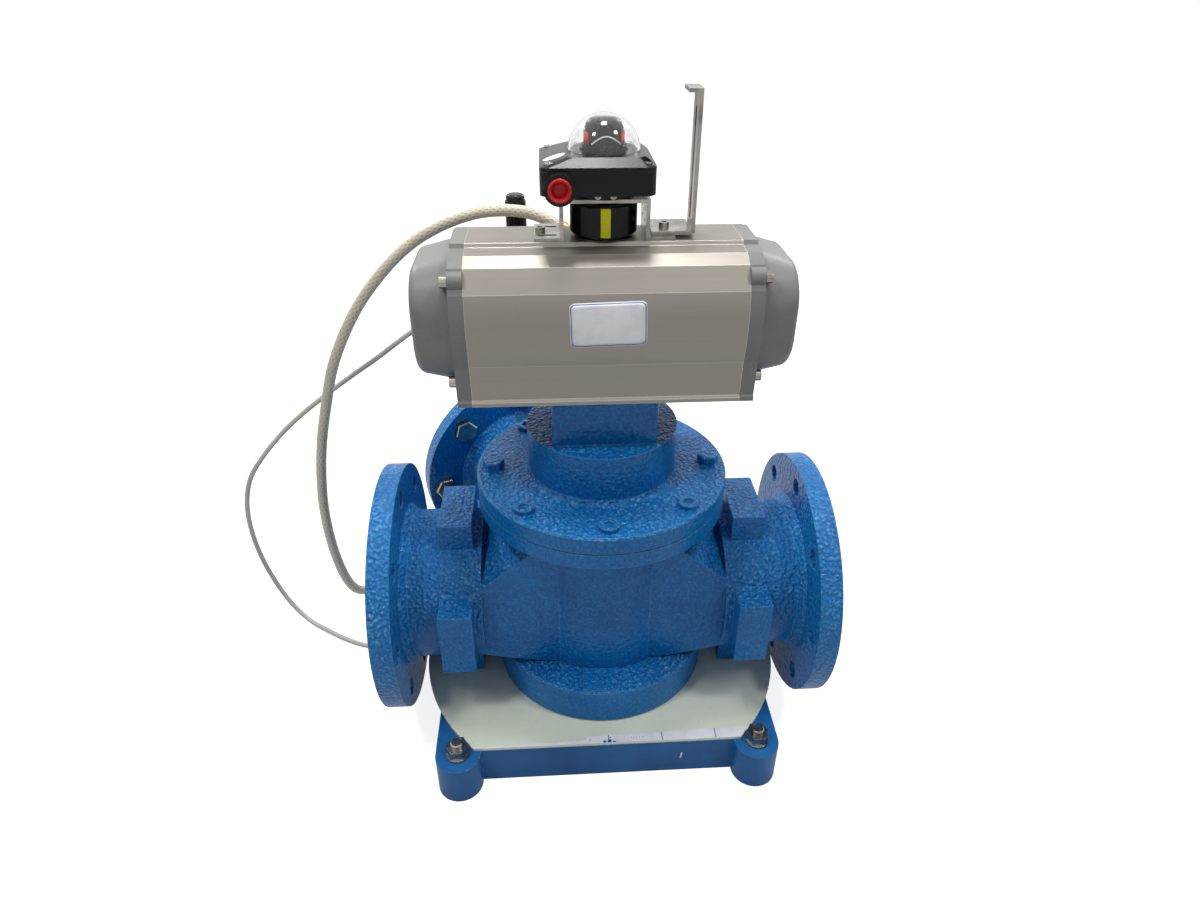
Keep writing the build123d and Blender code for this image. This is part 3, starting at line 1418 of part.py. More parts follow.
# Routes of the hose and the cable, chosen by eye; the rest lies on the floor behind
hose_lie = hose_diameter / 2 + 0.3
hose_route = [
    (-37, 77, 496),
    (-56, 77.6, 506),
    (-80, 78.7, 509.5),
    (-110, 80, 507.5),
    (-143, 82, 496),
    (-174, 84, 478),
    (-202, 86, 452),
    (-228, 88, 421),
    (-248, 90, 389),
    (-267, 92, 351),
    (-280, 94, 309),
    (-293, 96, 264),
    (-302, 98, 219),
    (-308, 100, 170),
    (-308, 102, 116),
    (-303, 105, 70),
    (-297, 115, 38),
    (-289, 134, 17),
    (-281, 160, hose_lie),
    (-270, 190, hose_lie),
    (-254, 222, hose_lie),
    (-238, 256, hose_lie),
    (-214, 284, hose_lie),
    (-184, 301, hose_lie),
]
cable_lie = cable_diameter / 2 + 0.3
cable_route = [
    tuple(gland_start + gland_out * gland_length),
    tuple(gland_start + gland_out * (gland_length + 16)),
    (-170, 93.5, 395),
    (-186, 97, 384),
    (-204, 100, 370),
    (-222, 104, 355),
    (-247, 108, 337),
    (-273, 111, 318),
    (-299, 112, 298),
    (-324, 112, 278),
    (-347, 111, 256),
    (-367, 110, 233),
    (-385, 110, 208),
    (-396, 110, 174),
    (-399, 110, 135),
    (-395, 110, 92),
    (-385, 110, 51),
    (-372, 108, 20),
    (-352, 98, cable_lie),
    (-324, 78, cable_lie),
    (-292, 58, cable_lie),
    (-262, 48, cable_lie),
    (-236, 54, cable_lie),
    (-220, 76, cable_lie),
    (-216, 104, cable_lie),
    (-224, 130, cable_lie),
]


def corner_radii(points):
    """Largest even radius at each corner of a route."""
    route = [Vector(*point) for point in points]
    radii = []
    for before, here, after in zip(route, route[1:], route[2:]):
        turn = math.radians((here - before).get_angle(after - here))
        shorter = min((here - before).length, (after - here).length)
        radii.append(0.45 * shorter / math.tan(turn / 2))
    return radii


def cord_tube(points, diameter):
    """A tube of straight runs joined by tangent arcs."""
    radii = corner_radii(points)
    print("bend radii", [round(radius) for radius in radii], "for diameter", diameter)
    with BuildPart() as tube:
        with BuildLine() as path:
            FilletPolyline(*points, radius=radii)
        start = Vector(*points[0])
        with BuildSketch(Plane(origin=start, z_dir=Vector(*points[1]) - start)):
            Circle(diameter / 2)
        sweep(path=path.line)
    length = sum(edge.length for edge in path.edges())
    section = math.pi * diameter**2 / 4
    print("tube length", round(length, 1), "volume share", round(tube.part.volume / section / length, 4))
    return tube.part


def end_plane(points):
    """Plane at the end of a route, looking along its last run."""
    last = Vector(*points[-1])
    return Plane(origin=last, z_dir=last - Vector(*points[-2]))


with BuildPart() as air_hose:
    add(cord_tube(hose_route, hose_diameter))
save(air_hose, "air_hose")

with BuildPart() as signal_cable:
    add(cord_tube(cable_route, cable_diameter))
save(signal_cable, "signal_cable")

# Elbow fitting that the hose comes out of
hose_start = Vector(*hose_route[0])
hose_back = (hose_start - Vector(*hose_route[1])).normalized()
elbow = hose_start + hose_back * 8
with BuildPart() as hose_fitting:
    with BuildSketch(Plane.XY.offset(solenoid_top)):
        with Locations((elbow.X, elbow.Y)):
            RegularPolygon(7, 6, major_radius=False)
    extrude(amount=6)
    with BuildSketch(Plane.XY.offset(solenoid_top)):
        with Locations((elbow.X, elbow.Y)):
            Circle(5)
    extrude(amount=elbow.Z - solenoid_top)
    with Locations(elbow):
        Sphere(6)
    with BuildSketch(Plane(origin=elbow, z_dir=hose_back * -1)):
        Circle(5.5)
    extrude(amount=8)
save(hose_fitting, "hose_fitting")

# Fittings on the far ends
with BuildPart() as hose_end:
    with BuildSketch(end_plane(hose_route)):
        Circle(hose_lie - 0.1)
    extrude(amount=16)
    with BuildSketch(end_plane(hose_route).offset(16)):
        Circle(4)
    extrude(amount=10)
save(hose_end, "hose_end")

with BuildPart() as cable_end:
    with BuildSketch(end_plane(cable_route)):
        Circle(cable_lie - 0.05)
    extrude(amount=6)
    with BuildSketch(end_plane(cable_route).offset(6)):
        Circle(cable_lie - 0.1)
    extrude(amount=20)
save(cable_end, "cable_end")
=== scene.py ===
import json
import math

import bmesh
import bpy
from mathutils import Matrix, Vector
from mathutils.bvhtree import BVHTree


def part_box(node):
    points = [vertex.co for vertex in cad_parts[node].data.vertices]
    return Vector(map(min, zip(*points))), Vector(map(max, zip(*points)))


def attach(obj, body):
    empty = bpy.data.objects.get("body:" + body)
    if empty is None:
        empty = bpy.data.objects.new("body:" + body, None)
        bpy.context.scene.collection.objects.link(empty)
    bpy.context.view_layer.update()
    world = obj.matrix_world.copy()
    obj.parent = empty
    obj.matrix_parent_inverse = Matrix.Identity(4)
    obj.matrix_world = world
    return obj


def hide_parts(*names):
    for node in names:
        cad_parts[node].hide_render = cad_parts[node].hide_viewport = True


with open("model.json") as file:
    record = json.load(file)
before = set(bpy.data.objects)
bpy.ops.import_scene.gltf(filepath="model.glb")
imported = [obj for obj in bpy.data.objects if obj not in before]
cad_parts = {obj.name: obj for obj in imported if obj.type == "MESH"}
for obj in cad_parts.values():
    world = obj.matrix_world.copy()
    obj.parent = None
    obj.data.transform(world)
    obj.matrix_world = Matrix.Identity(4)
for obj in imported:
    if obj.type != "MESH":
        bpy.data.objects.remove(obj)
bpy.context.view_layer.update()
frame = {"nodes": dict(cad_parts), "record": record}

scene = bpy.context.scene
nodes = frame["nodes"]
slot_of = {row["node"]: row["material_slot"] for row in frame["record"]["subparts"]}
mm = 0.001

# ---------------------------------------------------------------- camera
camera_turn = math.radians(-3.742)
camera_rise = math.radians(31.616)
camera_roll = math.radians(0.401)
camera_distance = 0.77401
camera_target = Vector((-0.001489, 0.0, 0.300233))
focal_pixels = 804.063
picture_width, picture_height = 1200, 900

back = Vector((
    math.sin(camera_turn) * math.cos(camera_rise),
    -math.cos(camera_turn) * math.cos(camera_rise),
    math.sin(camera_rise),
))
level_right = (-back).cross(Vector((0, 0, 1))).normalized()
level_up = level_right.cross(-back)
right = level_right * math.cos(camera_roll) + level_up * math.sin(camera_roll)
up = level_up * math.cos(camera_roll) - level_right * math.sin(camera_roll)
lens = bpy.data.cameras.new("camera")
lens.sensor_width = 36
lens.lens = lens.sensor_width * focal_pixels / picture_width
lens.clip_start = 0.01
lens.clip_end = 100
camera = bpy.data.objects.new("camera", lens)
scene.collection.objects.link(camera)
camera_place = camera_target + back * camera_distance
camera_axes = Matrix((right, up, back)).transposed().to_4x4()
camera.matrix_world = Matrix.Translation(camera_place) @ camera_axes
scene.camera = camera


def sight(column, row):
    """Direction from the camera through a pixel of the 1200 by 900 photograph."""
    across = (column - picture_width / 2) / focal_pixels
    upward = (picture_height / 2 - row) / focal_pixels
    return (right * across + up * upward - back).normalized()


# ---------------------------------------------------------------- cords
def cord_curve(name, diameter, points):
    """A round cord along a smooth NURBS spline with the given control points.

    Blender adds a point's own radius to a curve's box, so it is small here, and the bevel is as many times
    deeper."""
    curve = bpy.data.curves.new(name, "CURVE")
    curve.dimensions = "3D"
    point_radius = 0.002
    curve.bevel_depth = diameter / 2 / point_radius
    curve.bevel_resolution = 5
    curve.resolution_u = 10
    curve.use_fill_caps = True
    spline = curve.splines.new("NURBS")
    spline.points.add(len(points) - 1)
    for place, point in zip(spline.points, points):
        place.co = (*point, 1)
        place.radius = point_radius
    spline.order_u = 3
    spline.use_endpoint_u = True
    cord = bpy.data.objects.new(name, curve)
    scene.collection.objects.link(cord)
    return cord


hose_diameter = 0.011
hose_route = [
    (-0.037, 0.077, 0.496), (-0.056, 0.0776, 0.506), (-0.080, 0.0787, 0.5095), (-0.110, 0.080, 0.5075),
    (-0.143, 0.082, 0.496), (-0.174, 0.084, 0.478), (-0.202, 0.086, 0.452), (-0.228, 0.088, 0.421),
    (-0.248, 0.090, 0.389), (-0.267, 0.092, 0.351), (-0.280, 0.094, 0.309), (-0.293, 0.096, 0.264),
    (-0.302, 0.098, 0.219), (-0.308, 0.100, 0.170), (-0.308, 0.102, 0.116), (-0.303, 0.105, 0.070),
    (-0.297, 0.115, 0.038), (-0.289, 0.134, 0.017), (-0.281, 0.160, 0.0058), (-0.270, 0.190, 0.0058),
    (-0.254, 0.222, 0.0058), (-0.238, 0.256, 0.0058), (-0.214, 0.284, 0.0058), (-0.184, 0.301, 0.0058),
]
air_hose = cord_curve("braided_hose", hose_diameter, hose_route)
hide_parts("air_hose")
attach(air_hose, "body")

cable_diameter = 0.0055
cable_route = [
    (-0.13996, 0.088, 0.41104), (-0.153784, 0.088, 0.402976), (-0.170, 0.0935, 0.395), (-0.186, 0.097, 0.384),
    (-0.204, 0.100, 0.370), (-0.222, 0.104, 0.355), (-0.247, 0.108, 0.337), (-0.273, 0.111, 0.318),
    (-0.299, 0.112, 0.298), (-0.324, 0.112, 0.278), (-0.347, 0.111, 0.256), (-0.367, 0.110, 0.233),
    (-0.385, 0.110, 0.208), (-0.396, 0.110, 0.174), (-0.399, 0.110, 0.135), (-0.395, 0.110, 0.092),
    (-0.385, 0.110, 0.051), (-0.372, 0.108, 0.020), (-0.352, 0.098, 0.00305), (-0.324, 0.078, 0.00305),
    (-0.292, 0.058, 0.00305), (-0.262, 0.048, 0.00305), (-0.236, 0.054, 0.00305), (-0.220, 0.076, 0.00305),
    (-0.216, 0.104, 0.00305), (-0.224, 0.130, 0.00305),
]
signal_cable = cord_curve("control_cable", cable_diameter, cable_route)
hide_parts("signal_cable")
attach(signal_cable, "body")


# ---------------------------------------------------------------- materials
def screen(*levels):
    """A colour written as it shows on a screen, 0 to 255, as Blender's linear numbers."""
    linear = []
    for level in levels:
        share = level / 255
        linear.append(share / 12.92 if share <= 0.04045 else ((share + 0.055) / 1.055) ** 2.4)
    return (*linear, 1.0)


class Look:
    """One procedural material. Its patterns are laid out in the object's own coordinates, in metres."""

    def __init__(self, name, **sockets):
        self.material = bpy.data.materials.new(name)
        self.material.use_nodes = True
        self.tree = self.material.node_tree
        self.shader = self.tree.nodes["Principled BSDF"]
        self.coordinates = self.tree.nodes.new("ShaderNodeTexCoord")
        for socket, value in sockets.items():
            self.shader.inputs[socket.replace("_", " ")].default_value = value

    def node(self, kind, **values):
        made = self.tree.nodes.new("ShaderNode" + kind)
        for key, value in values.items():
            setattr(made, key, value)
        return made

    def link(self, source, target):
        self.tree.links.new(source, target)

    def place(self, stretch=(1, 1, 1)):
        mapping = self.node("Mapping")
        self.link(self.coordinates.outputs["Object"], mapping.inputs["Vector"])
        mapping.inputs["Scale"].default_value = stretch
        return mapping.outputs["Vector"]

    def noise(self, scale, detail=2.0, roughness=0.5, stretch=(1, 1, 1)):
        made = self.node("TexNoise")
        self.link(self.place(stretch), made.inputs["Vector"])
        made.inputs["Scale"].default_value = scale
        made.inputs["Detail"].default_value = detail
        made.inputs["Roughness"].default_value = roughness
        return made.outputs[0]

    def cells(self, scale):
        made = self.node("TexVoronoi", feature="SMOOTH_F1")
        self.link(self.place(), made.inputs["Vector"])
        made.inputs["Scale"].default_value = scale
        return made.outputs["Distance"]

    def levels(self, source, low, high, first=0.0, last=1.0):
        made = self.node("MapRange")
        self.link(source, made.inputs["Value"])
        for name, value in (("From Min", low), ("From Max", high), ("To Min", first), ("To Max", last)):
            made.inputs[name].default_value = value
        return made.outputs[0]

    def sums(self, first, second, operation="ADD"):
        """The sum of two sockets or numbers, or the result of another operation of Blender's Math node."""
        made = self.node("Math", operation=operation)
        for socket, value in zip(made.inputs, (first, second)):
            if isinstance(value, (int, float)):
                socket.default_value = value
            else:
                self.link(value, socket)
        return made.outputs[0]

    def ramp(self, source, *stops):
        made = self.node("ValToRGB")
        self.link(source, made.inputs[0])
        elements = made.color_ramp.elements
        while len(elements) < len(stops):
            elements.new(1.0)
        for element, (position, colour) in zip(elements, stops):
            element.position = position
            element.color = colour
        return made.outputs[0]

    def mix(self, factor, first, second):
        made = self.node("Mix", data_type="RGBA")
        for socket, value in ((made.inputs[0], factor), (made.inputs[6], first), (made.inputs[7], second)):
            if isinstance(value, (int, float, tuple)):
                socket.default_value = value
            else:
                self.link(value, socket)
        return made.outputs[2]

    def colour(self, source):
        self.link(source, self.shader.inputs["Base Color"])

    def roughness(self, source):
        self.link(source, self.shader.inputs["Roughness"])

    def soft_edges(self, radius):
        made = self.node("Bevel", samples=4)
        made.inputs["Radius"].default_value = radius
        return made.outputs["Normal"]

    def edges(self, rounded, low=0.004, high=0.07):
        """1 along the edges that the rounded normals soften, 0 on open faces."""
        flat = self.node("NewGeometry")
        together = self.node("VectorMath", operation="DOT_PRODUCT")
        self.link(rounded, together.inputs[0])
        self.link(flat.outputs["Normal"], together.inputs[1])
        return self.levels(self.sums(1.0, together.outputs["Value"], "SUBTRACT"), low, high)

    def facing(self, axis, low, high):
        """How far the surface faces along one of the object's axes, from 0 at low to 1 at high."""
        split = self.node("SeparateXYZ")
        self.link(self.coordinates.outputs["Normal"], split.inputs[0])
        return self.levels(split.outputs[axis], low, high)

    def where(self, axis, low, high):
        """0 to 1 between two places along one of the object's axes, in metres."""
        split = self.node("SeparateXYZ")
        self.link(self.coordinates.outputs["Object"], split.inputs[0])
        return self.levels(split.outputs[axis], low, high)

    def bump(self, height, distance, strength=1.0, under=None, coat=False):
        made = self.node("Bump")
        self.link(height, made.inputs["Height"])
        made.inputs["Distance"].default_value = distance
        made.inputs["Strength"].default_value = strength
        if under is not None:
            self.link(under, made.inputs["Normal"])
        self.link(made.outputs["Normal"], self.shader.inputs["Normal"])
        if coat:
            self.link(made.outputs["Normal"], self.shader.inputs["Coat Normal"])


looks = {}
flange_root = 0.188     # where the left and right flanges begin, along X


def shades(colour, darker, lighter):
    """A darker and a lighter tone of a colour, by the two factors."""
    low = tuple(c * darker for c in colour[:3])
    high = tuple(min(1.0, c * lighter) for c in colour[:3])
    return (*low, 1.0), (*high, 1.0)


def hammered_paint():
    """Glossy blue paint with a fine hammered surface, over rough iron castings. Painted glints give a lighter
    azure on the pebbles where the surface faces up and on the flanges, and a painted highlight gives a
    lighter blue along the edges.
    """
    look = Look(
        "hammered_blue", Roughness=0.40, IOR=1.45, Specular_IOR_Level=0.05,
        Coat_Weight=0.42, Coat_Roughness=0.07,
    )
    grain = look.noise(420, 3.0, 0.6)
    pebbles = look.sums(0.7, look.cells(300), "SUBTRACT")
    broad = look.noise(9, 3.0, 0.55)
    rounded = look.soft_edges(0.0016)
    flecks = look.ramp(
        grain, (0.34, screen(2, 78, 150)), (0.52, screen(6, 104, 178)), (0.70, screen(34, 152, 218))
    )
    worn = look.ramp(broad, (0.30, screen(4, 86, 156)), (0.62, screen(18, 118, 188)))
    paint = look.mix(0.5, flecks, worn)
    # painted glints: a lighter azure on the crowns of the pebbles where the surface faces up and on the
    # flanges, standing in for the lamps' highlights; the same mask also carries the hammered bump
    upper = look.sums(0.10, look.sums(look.facing(2, -0.05, 0.35), 0.90, "MULTIPLY"))
    fade = 4 * mm
    flange = look.sums(
        look.where(0, flange_root, flange_root + fade), look.where(0, -flange_root, -flange_root - fade)
    )
    cast_and_glints = look.sums(upper, look.sums(flange, 0.75, "MULTIPLY"), "MAXIMUM")
    patches = look.levels(look.noise(24, 3.0, 0.6), 0.36, 0.62, 0.16, 0.76)
    painted_glints = look.sums(look.sums(look.levels(pebbles, 0.32, 0.58), patches, "MULTIPLY"), cast_and_glints, "MULTIPLY")
    paint = look.mix(painted_glints, paint, screen(92, 182, 230))
    edge = look.edges(rounded)
    # painted highlight: a lighter blue along the rounded edges; the white chips below are real worn paint
    paint = look.mix(look.sums(edge, 0.45, "MULTIPLY"), paint, screen(96, 172, 220))
    chips = look.sums(edge, look.levels(look.noise(150, 2.0, 0.6), 0.66, 0.72), "MULTIPLY")
    look.colour(look.mix(chips, paint, screen(206, 212, 214)))
    height = look.sums(look.sums(look.sums(grain, 0.5, "MULTIPLY"), pebbles), cast_and_glints, "MULTIPLY")
    look.bump(height, 0.0028, 1.0, rounded, coat=True)
    looks["blue_paint"] = look


def satin_paint():
    """The same blue on the flat sides of the base: smooth, with a painted highlight, a lighter blue, along
    its edges, and small chips there.
    """
    look = Look("satin_blue", Roughness=0.42, IOR=1.45, Specular_IOR_Level=0.3)
    fine = look.noise(420, 2.0, 0.5)
    broad = look.noise(14, 4.0, 0.6)
    rounded = look.soft_edges(0.0012)
    paint = look.ramp(broad, (0.30, screen(18, 84, 146)), (0.66, screen(30, 104, 168)))
    edge = look.edges(rounded)
    # painted highlight: a lighter blue along the rounded edges; the white chips below are real worn paint
    paint = look.mix(look.sums(edge, 0.35, "MULTIPLY"), paint, screen(88, 150, 196))
    chips = look.sums(edge, look.levels(look.noise(120, 3.0, 0.65), 0.60, 0.66), "MULTIPLY")
    look.colour(look.mix(chips, paint, screen(214, 218, 218)))
    look.bump(fine, 0.0002, 0.6, rounded)
    return look


def deck_paint():
    """Pale grey-green paint with faint stains on a flat steel plate."""
    look = Look("deck_grey_green", Roughness=0.42, IOR=1.45)
    stains = look.noise(11, 5.0, 0.62)
    specks = look.noise(160, 3.0, 0.6)
    base = look.ramp(
        stains, (0.30, screen(216, 223, 202)), (0.55, screen(226, 232, 212)), (0.75, screen(232, 237, 220))
    )
    look.colour(look.mix(look.levels(specks, 0.62, 0.80, 0.0, 0.35), base, screen(150, 158, 146)))
    look.roughness(look.levels(stains, 0.3, 0.7, 0.34, 0.5))
    look.bump(specks, 0.0002, 0.4, look.soft_edges(0.0006))
    looks["deck_paint"] = look


def brushed_metal(slot, name, colour, roughness, along, streak, metallic, grain=0.00005):
    """Metal with fine lines along one axis and a painted highlight that makes its edges pale; along is the
    noise stretch, small in the lines' direction."""
    look = Look(name, Metallic=metallic)
    lines = look.noise(1, 2.0, 0.6, along)
    cloud = look.noise(7, 3.0, 0.6)
    dark, light = shades(colour, 1 - 1.6 * streak, 1 + streak)
    shade = look.sums(look.sums(lines, 0.6, "MULTIPLY"), look.sums(cloud, 0.4, "MULTIPLY"))
    rounded = look.soft_edges(0.0007)
    metal = look.ramp(shade, (0.34, dark), (0.66, light))
    edge = look.edges(rounded, 0.001, 0.014)
    # painted highlight: the rounded edges go pale grey, standing in for the lamps' glints there
    look.colour(look.mix(look.sums(edge, 0.8, "MULTIPLY"), metal, screen(236, 233, 226)))
    look.roughness(look.levels(shade, 0.3, 0.7, roughness * 0.85, roughness * 1.2))
    look.bump(lines, grain, 0.5, rounded)
    looks[slot] = look


def plain_metal(slot, name, colour, roughness, grain_scale=420, grain=0.00008, darkest=0.74):
    """Metal with a fine even grain and slight clouding."""
    look = Look(name, Metallic=1.0)
    fine = look.noise(grain_scale, 3.0, 0.55)
    cloud = look.noise(38, 3.0, 0.6)
    dark, light = shades(colour, darkest, 1.14)
    look.colour(look.ramp(cloud, (0.34, dark), (0.64, light)))
    look.roughness(look.levels(cloud, 0.3, 0.7, roughness * 0.8, roughness * 1.25))
    look.bump(fine, grain, 0.6, look.soft_edges(0.0004))
    looks[slot] = look


def moulded(slot, name, colour, roughness, grain_scale=900, grain=0.00006, spread=0.14):
    """Moulded plastic, rubber or powder coat with a fine grain and slight change of tone."""
    look = Look(name, IOR=1.45, Specular_IOR_Level=0.3)
    fine = look.noise(grain_scale, 2.0, 0.5)
    cloud = look.noise(26, 4.0, 0.6)
    dark, light = shades(colour, 1 - spread, 1 + spread)
    tone = look.sums(look.sums(fine, 0.4, "MULTIPLY"), look.sums(cloud, 0.6, "MULTIPLY"))
    look.colour(look.ramp(tone, (0.36, dark), (0.64, light)))
    look.roughness(look.levels(cloud, 0.3, 0.7, roughness * 0.85, roughness * 1.15))
    look.bump(fine, grain, 0.5, look.soft_edges(0.0006))
    looks[slot] = look


def clear_plastic():
    """Clear moulded dome."""
    look = Look(
        "clear_dome", Transmission_Weight=1.0, Roughness=0.04, IOR=1.46, Base_Color=(0.96, 0.96, 0.97, 1)
    )
    ripple = look.noise(120, 2.0, 0.5)
    look.bump(ripple, 0.0002, 0.25)
    looks["clear_plastic"] = look


def braided_hose():
    """Cream hose with a woven reinforcement that shows through."""
    look = Look("braided_cream", Roughness=0.38, IOR=1.45, Coat_Weight=0.3, Coat_Roughness=0.25)
    split = look.node("SeparateXYZ")
    look.link(look.coordinates.outputs["UV"], split.inputs[0])
    turns, strands = 110, 8
    along = look.sums(split.outputs[0], turns * math.tau, "MULTIPLY")
    around = look.sums(split.outputs[1], strands * math.tau, "MULTIPLY")
    one = look.sums(look.sums(along, around), 0, "SINE")
    other = look.sums(look.sums(along, around, "SUBTRACT"), 0, "SINE")
    weave = look.sums(one, other, "MAXIMUM")
    raised = look.levels(weave, -0.2, 1.0)
    base = look.ramp(raised, (0.2, screen(196, 189, 168)), (0.8, screen(222, 217, 202)))
    cloud = look.noise(30, 3.0, 0.6)
    look.colour(look.mix(look.levels(cloud, 0.4, 0.8, 0.0, 0.5), base, screen(188, 178, 150)))
    look.bump(weave, 0.0003, 0.5)
    looks["cream_hose"] = look


hammered_paint()
deck_paint()
clear_plastic()
braided_hose()
brushed_metal(
    "anodised_alloy", "brushed_actuator", screen(148, 143, 135), 0.42, (3, 900, 900),
    streak=0.03, metallic=0.7,
)
plain_metal("stainless", "stainless_steel", screen(176, 172, 165), 0.22, darkest=0.45)
plain_metal("dark_steel", "blackened_steel", screen(74, 72, 70), 0.42)
plain_metal("machined_steel", "turned_steel", screen(178, 178, 180), 0.26)
plain_metal("cast_alloy", "cast_aluminium", screen(170, 170, 168), 0.48, 260, 0.0002)
plain_metal("solenoid_alloy", "solenoid_alloy", screen(160, 160, 158), 0.40)
plain_metal("bronze", "bearing_bronze", screen(168, 122, 66), 0.34)
plain_metal("brass_fitting", "brass", screen(196, 158, 84), 0.26)
moulded("cap_grey", "cap_powder_coat", screen(128, 128, 128), 0.42, 620, 0.00012, 0.08)
moulded("black_plastic", "black_moulding", screen(20, 20, 22), 0.26)
moulded("red_plastic", "red_moulding", screen(206, 44, 40), 0.30)
moulded("yellow_plastic", "yellow_moulding", screen(240, 236, 30), 0.40)
moulded("polymer_bush", "dark_bush", screen(56, 58, 60), 0.50)
moulded("seal_rubber", "seal_rubber", screen(24, 24, 24), 0.60)
moulded("white_polymer", "white_liner", screen(226, 224, 216), 0.42)
moulded("green_board", "circuit_board", screen(28, 96, 62), 0.45)
moulded("pale_cable", "pale_cable_sheath", screen(196, 194, 186), 0.42)

for name, piece in nodes.items():
    dressed = looks[slot_of[name]].material
    if not piece.material_slots:
        piece.data.materials.append(dressed)
    for holder in piece.material_slots:
        holder.material = dressed
air_hose.data.materials.append(looks["cream_hose"].material)
signal_cable.data.materials.append(looks["pale_cable"].material)
base_paint = satin_paint()
for holder in nodes["base_casting"].material_slots:
    holder.material = base_paint.material


# ---------------------------------------------------------------- trim on the surfaces
skins = {}


def hit(node, origin, direction):
    """Where a ray first meets a CAD node, and the surface's normal there."""
    if node not in skins:
        mesh = nodes[node].data
        mesh.calc_loop_triangles()
        skins[node] = BVHTree.FromPolygons(
            [v.co.copy() for v in mesh.vertices], [tuple(t.vertices) for t in mesh.loop_triangles]
        )
    place, normal, _, _ = skins[node].ray_cast(origin, direction)
    if place is None:
        raise ValueError(f"no surface of {node} there")
    return place, (normal if normal.dot(direction) < 0 else -normal)


def finished(name, built, look, body):
    """Turns a bmesh into a piece that rides on a body."""
    bmesh.ops.recalc_face_normals(built, faces=built.faces)
    mesh = bpy.data.meshes.new(name)
    built.to_mesh(mesh)
    built.free()
    piece = bpy.data.objects.new(name, mesh)
    scene.collection.objects.link(piece)
    mesh.materials.append(look.material)
    for face in mesh.polygons:
        face.use_smooth = True
    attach(piece, body)
    return piece


def sticker(name, node, middle, half_width, half_height, corner, tilt, lift, look, above=False):
    """A thin rounded patch that follows a node's surface, laid on from the front, or from above.

    A corner of 0 makes it an oval."""
    rows, columns = 18, 10
    sunk = 0.05 * mm
    outside = 1.0       # where the rays start, clear of the whole object
    built = bmesh.new()
    levels = []
    for row in range(rows + 1):
        upward = -half_height + 2 * half_height * row / rows
        past = abs(upward) - (half_height - corner)
        pull = corner - math.sqrt(max(0.0, corner**2 - past**2)) if past > 0 else 0.0
        reach = half_width - pull
        if corner == 0:
            reach = half_width * math.sqrt(max(0.004, 1 - (upward / half_height) ** 2))
        level = []
        for column in range(columns + 1):
            across = -reach + 2 * reach * column / columns
            first = middle[0] + across * math.cos(tilt) - upward * math.sin(tilt)
            second = middle[1] + across * math.sin(tilt) + upward * math.cos(tilt)
            if above:
                place, normal = hit(node, Vector((first, second, outside)), Vector((0, 0, -1)))
            else:
                place, normal = hit(node, Vector((first, -outside, second)), Vector((0, 1, 0)))
            level.append((built.verts.new(place + normal * lift), built.verts.new(place - normal * sunk)))
        levels.append(level)
    for low, high in zip(levels, levels[1:]):
        for side in (0, 1):
            for column in range(columns):
                after = column + 1
                built.faces.new([low[column][side], low[after][side], high[after][side], high[column][side]])
    ring = levels[0] + [level[-1] for level in levels[1:]] + levels[-1][-2::-1] + [
        level[0] for level in levels[-2:0:-1]
    ]
    for one, other in zip(ring, ring[1:] + ring[:1]):
        built.faces.new([one[0], other[0], other[1], one[1]])
    finished(name, built, look, "body")


def turned(name, profile, middle, look, body):
    """A closed piece turned about a line along Y; the profile is (radius, y) from axis to axis."""
    steps = 64
    built = bmesh.new()
    rings = []
    for radius, y in profile:
        if radius == 0:
            rings.append([built.verts.new((middle[0], y, middle[1]))])
            continue
        turns = [math.tau * step / steps for step in range(steps)]
        rings.append([
            built.verts.new((middle[0] + radius * math.cos(turn), y, middle[1] + radius * math.sin(turn)))
            for turn in turns
        ])
    for low, high in zip(rings, rings[1:]):
        for step in range(steps):
            after = (step + 1) % steps
            if len(low) == 1:
                built.faces.new([low[0], high[step], high[after]])
            elif len(high) == 1:
                built.faces.new([low[step], low[after], high[0]])
            else:
                built.faces.new([low[step], low[after], high[after], high[step]])
    return finished(name, built, look, body)


def slabs(name, outlines, bottom, top, look):
    """Thin flat slabs between two levels, one for each outline of (x, y) points."""
    built = bmesh.new()
    for outline in outlines:
        low = [built.verts.new((x, y, bottom)) for x, y in outline]
        high = [built.verts.new((x, y, top)) for x, y in outline]
        built.faces.new(high)
        built.faces.new(low[::-1])
        for step in range(len(outline)):
            after = (step + 1) % len(outline)
            built.faces.new([low[step], low[after], high[after], high[step]])
    piece = finished(name, built, look, "body")
    for face in piece.data.polygons:
        face.use_smooth = False


paper = Look("white_label", Roughness=0.32, IOR=1.45, Coat_Weight=0.3, Coat_Roughness=0.1)
smudges = paper.noise(60, 4.0, 0.6)
paper.colour(paper.ramp(smudges, (0.3, screen(226, 230, 236)), (0.6, screen(242, 244, 248))))
paper.bump(smudges, 0.0001, 0.3)
border = Look("blue_border", Roughness=0.34, IOR=1.45)
tone = border.noise(90, 2.0, 0.5)
border.colour(border.ramp(tone, (0.35, screen(36, 84, 160)), (0.65, screen(58, 110, 186))))
ink = Look("dark_mark", Roughness=0.6, IOR=1.45)
ink.colour(ink.ramp(ink.noise(200, 2.0, 0.5), (0.35, screen(40, 44, 48)), (0.65, screen(84, 90, 96))))

# the blank label on the actuator: a white edge, a thin blue line and the white face, one on the other
label_middle = (0.0003, 0.4575)
label_half_width, label_half_height, label_corner = 30.6, 18.2, 3.2
label_tilt = math.radians(1.4)
for name, inset, lift, look in (
    ("blank_label_edge", 0.0, 0.22, paper),
    ("blank_label_line", 0.7, 0.30, border),
    ("blank_label_face", 1.5, 0.38, paper),
):
    sticker(
        name, "actuator_body", label_middle,
        (label_half_width - inset) * mm, (label_half_height - inset) * mm, (label_corner - inset * 0.6) * mm,
        label_tilt, lift * mm, look,
    )

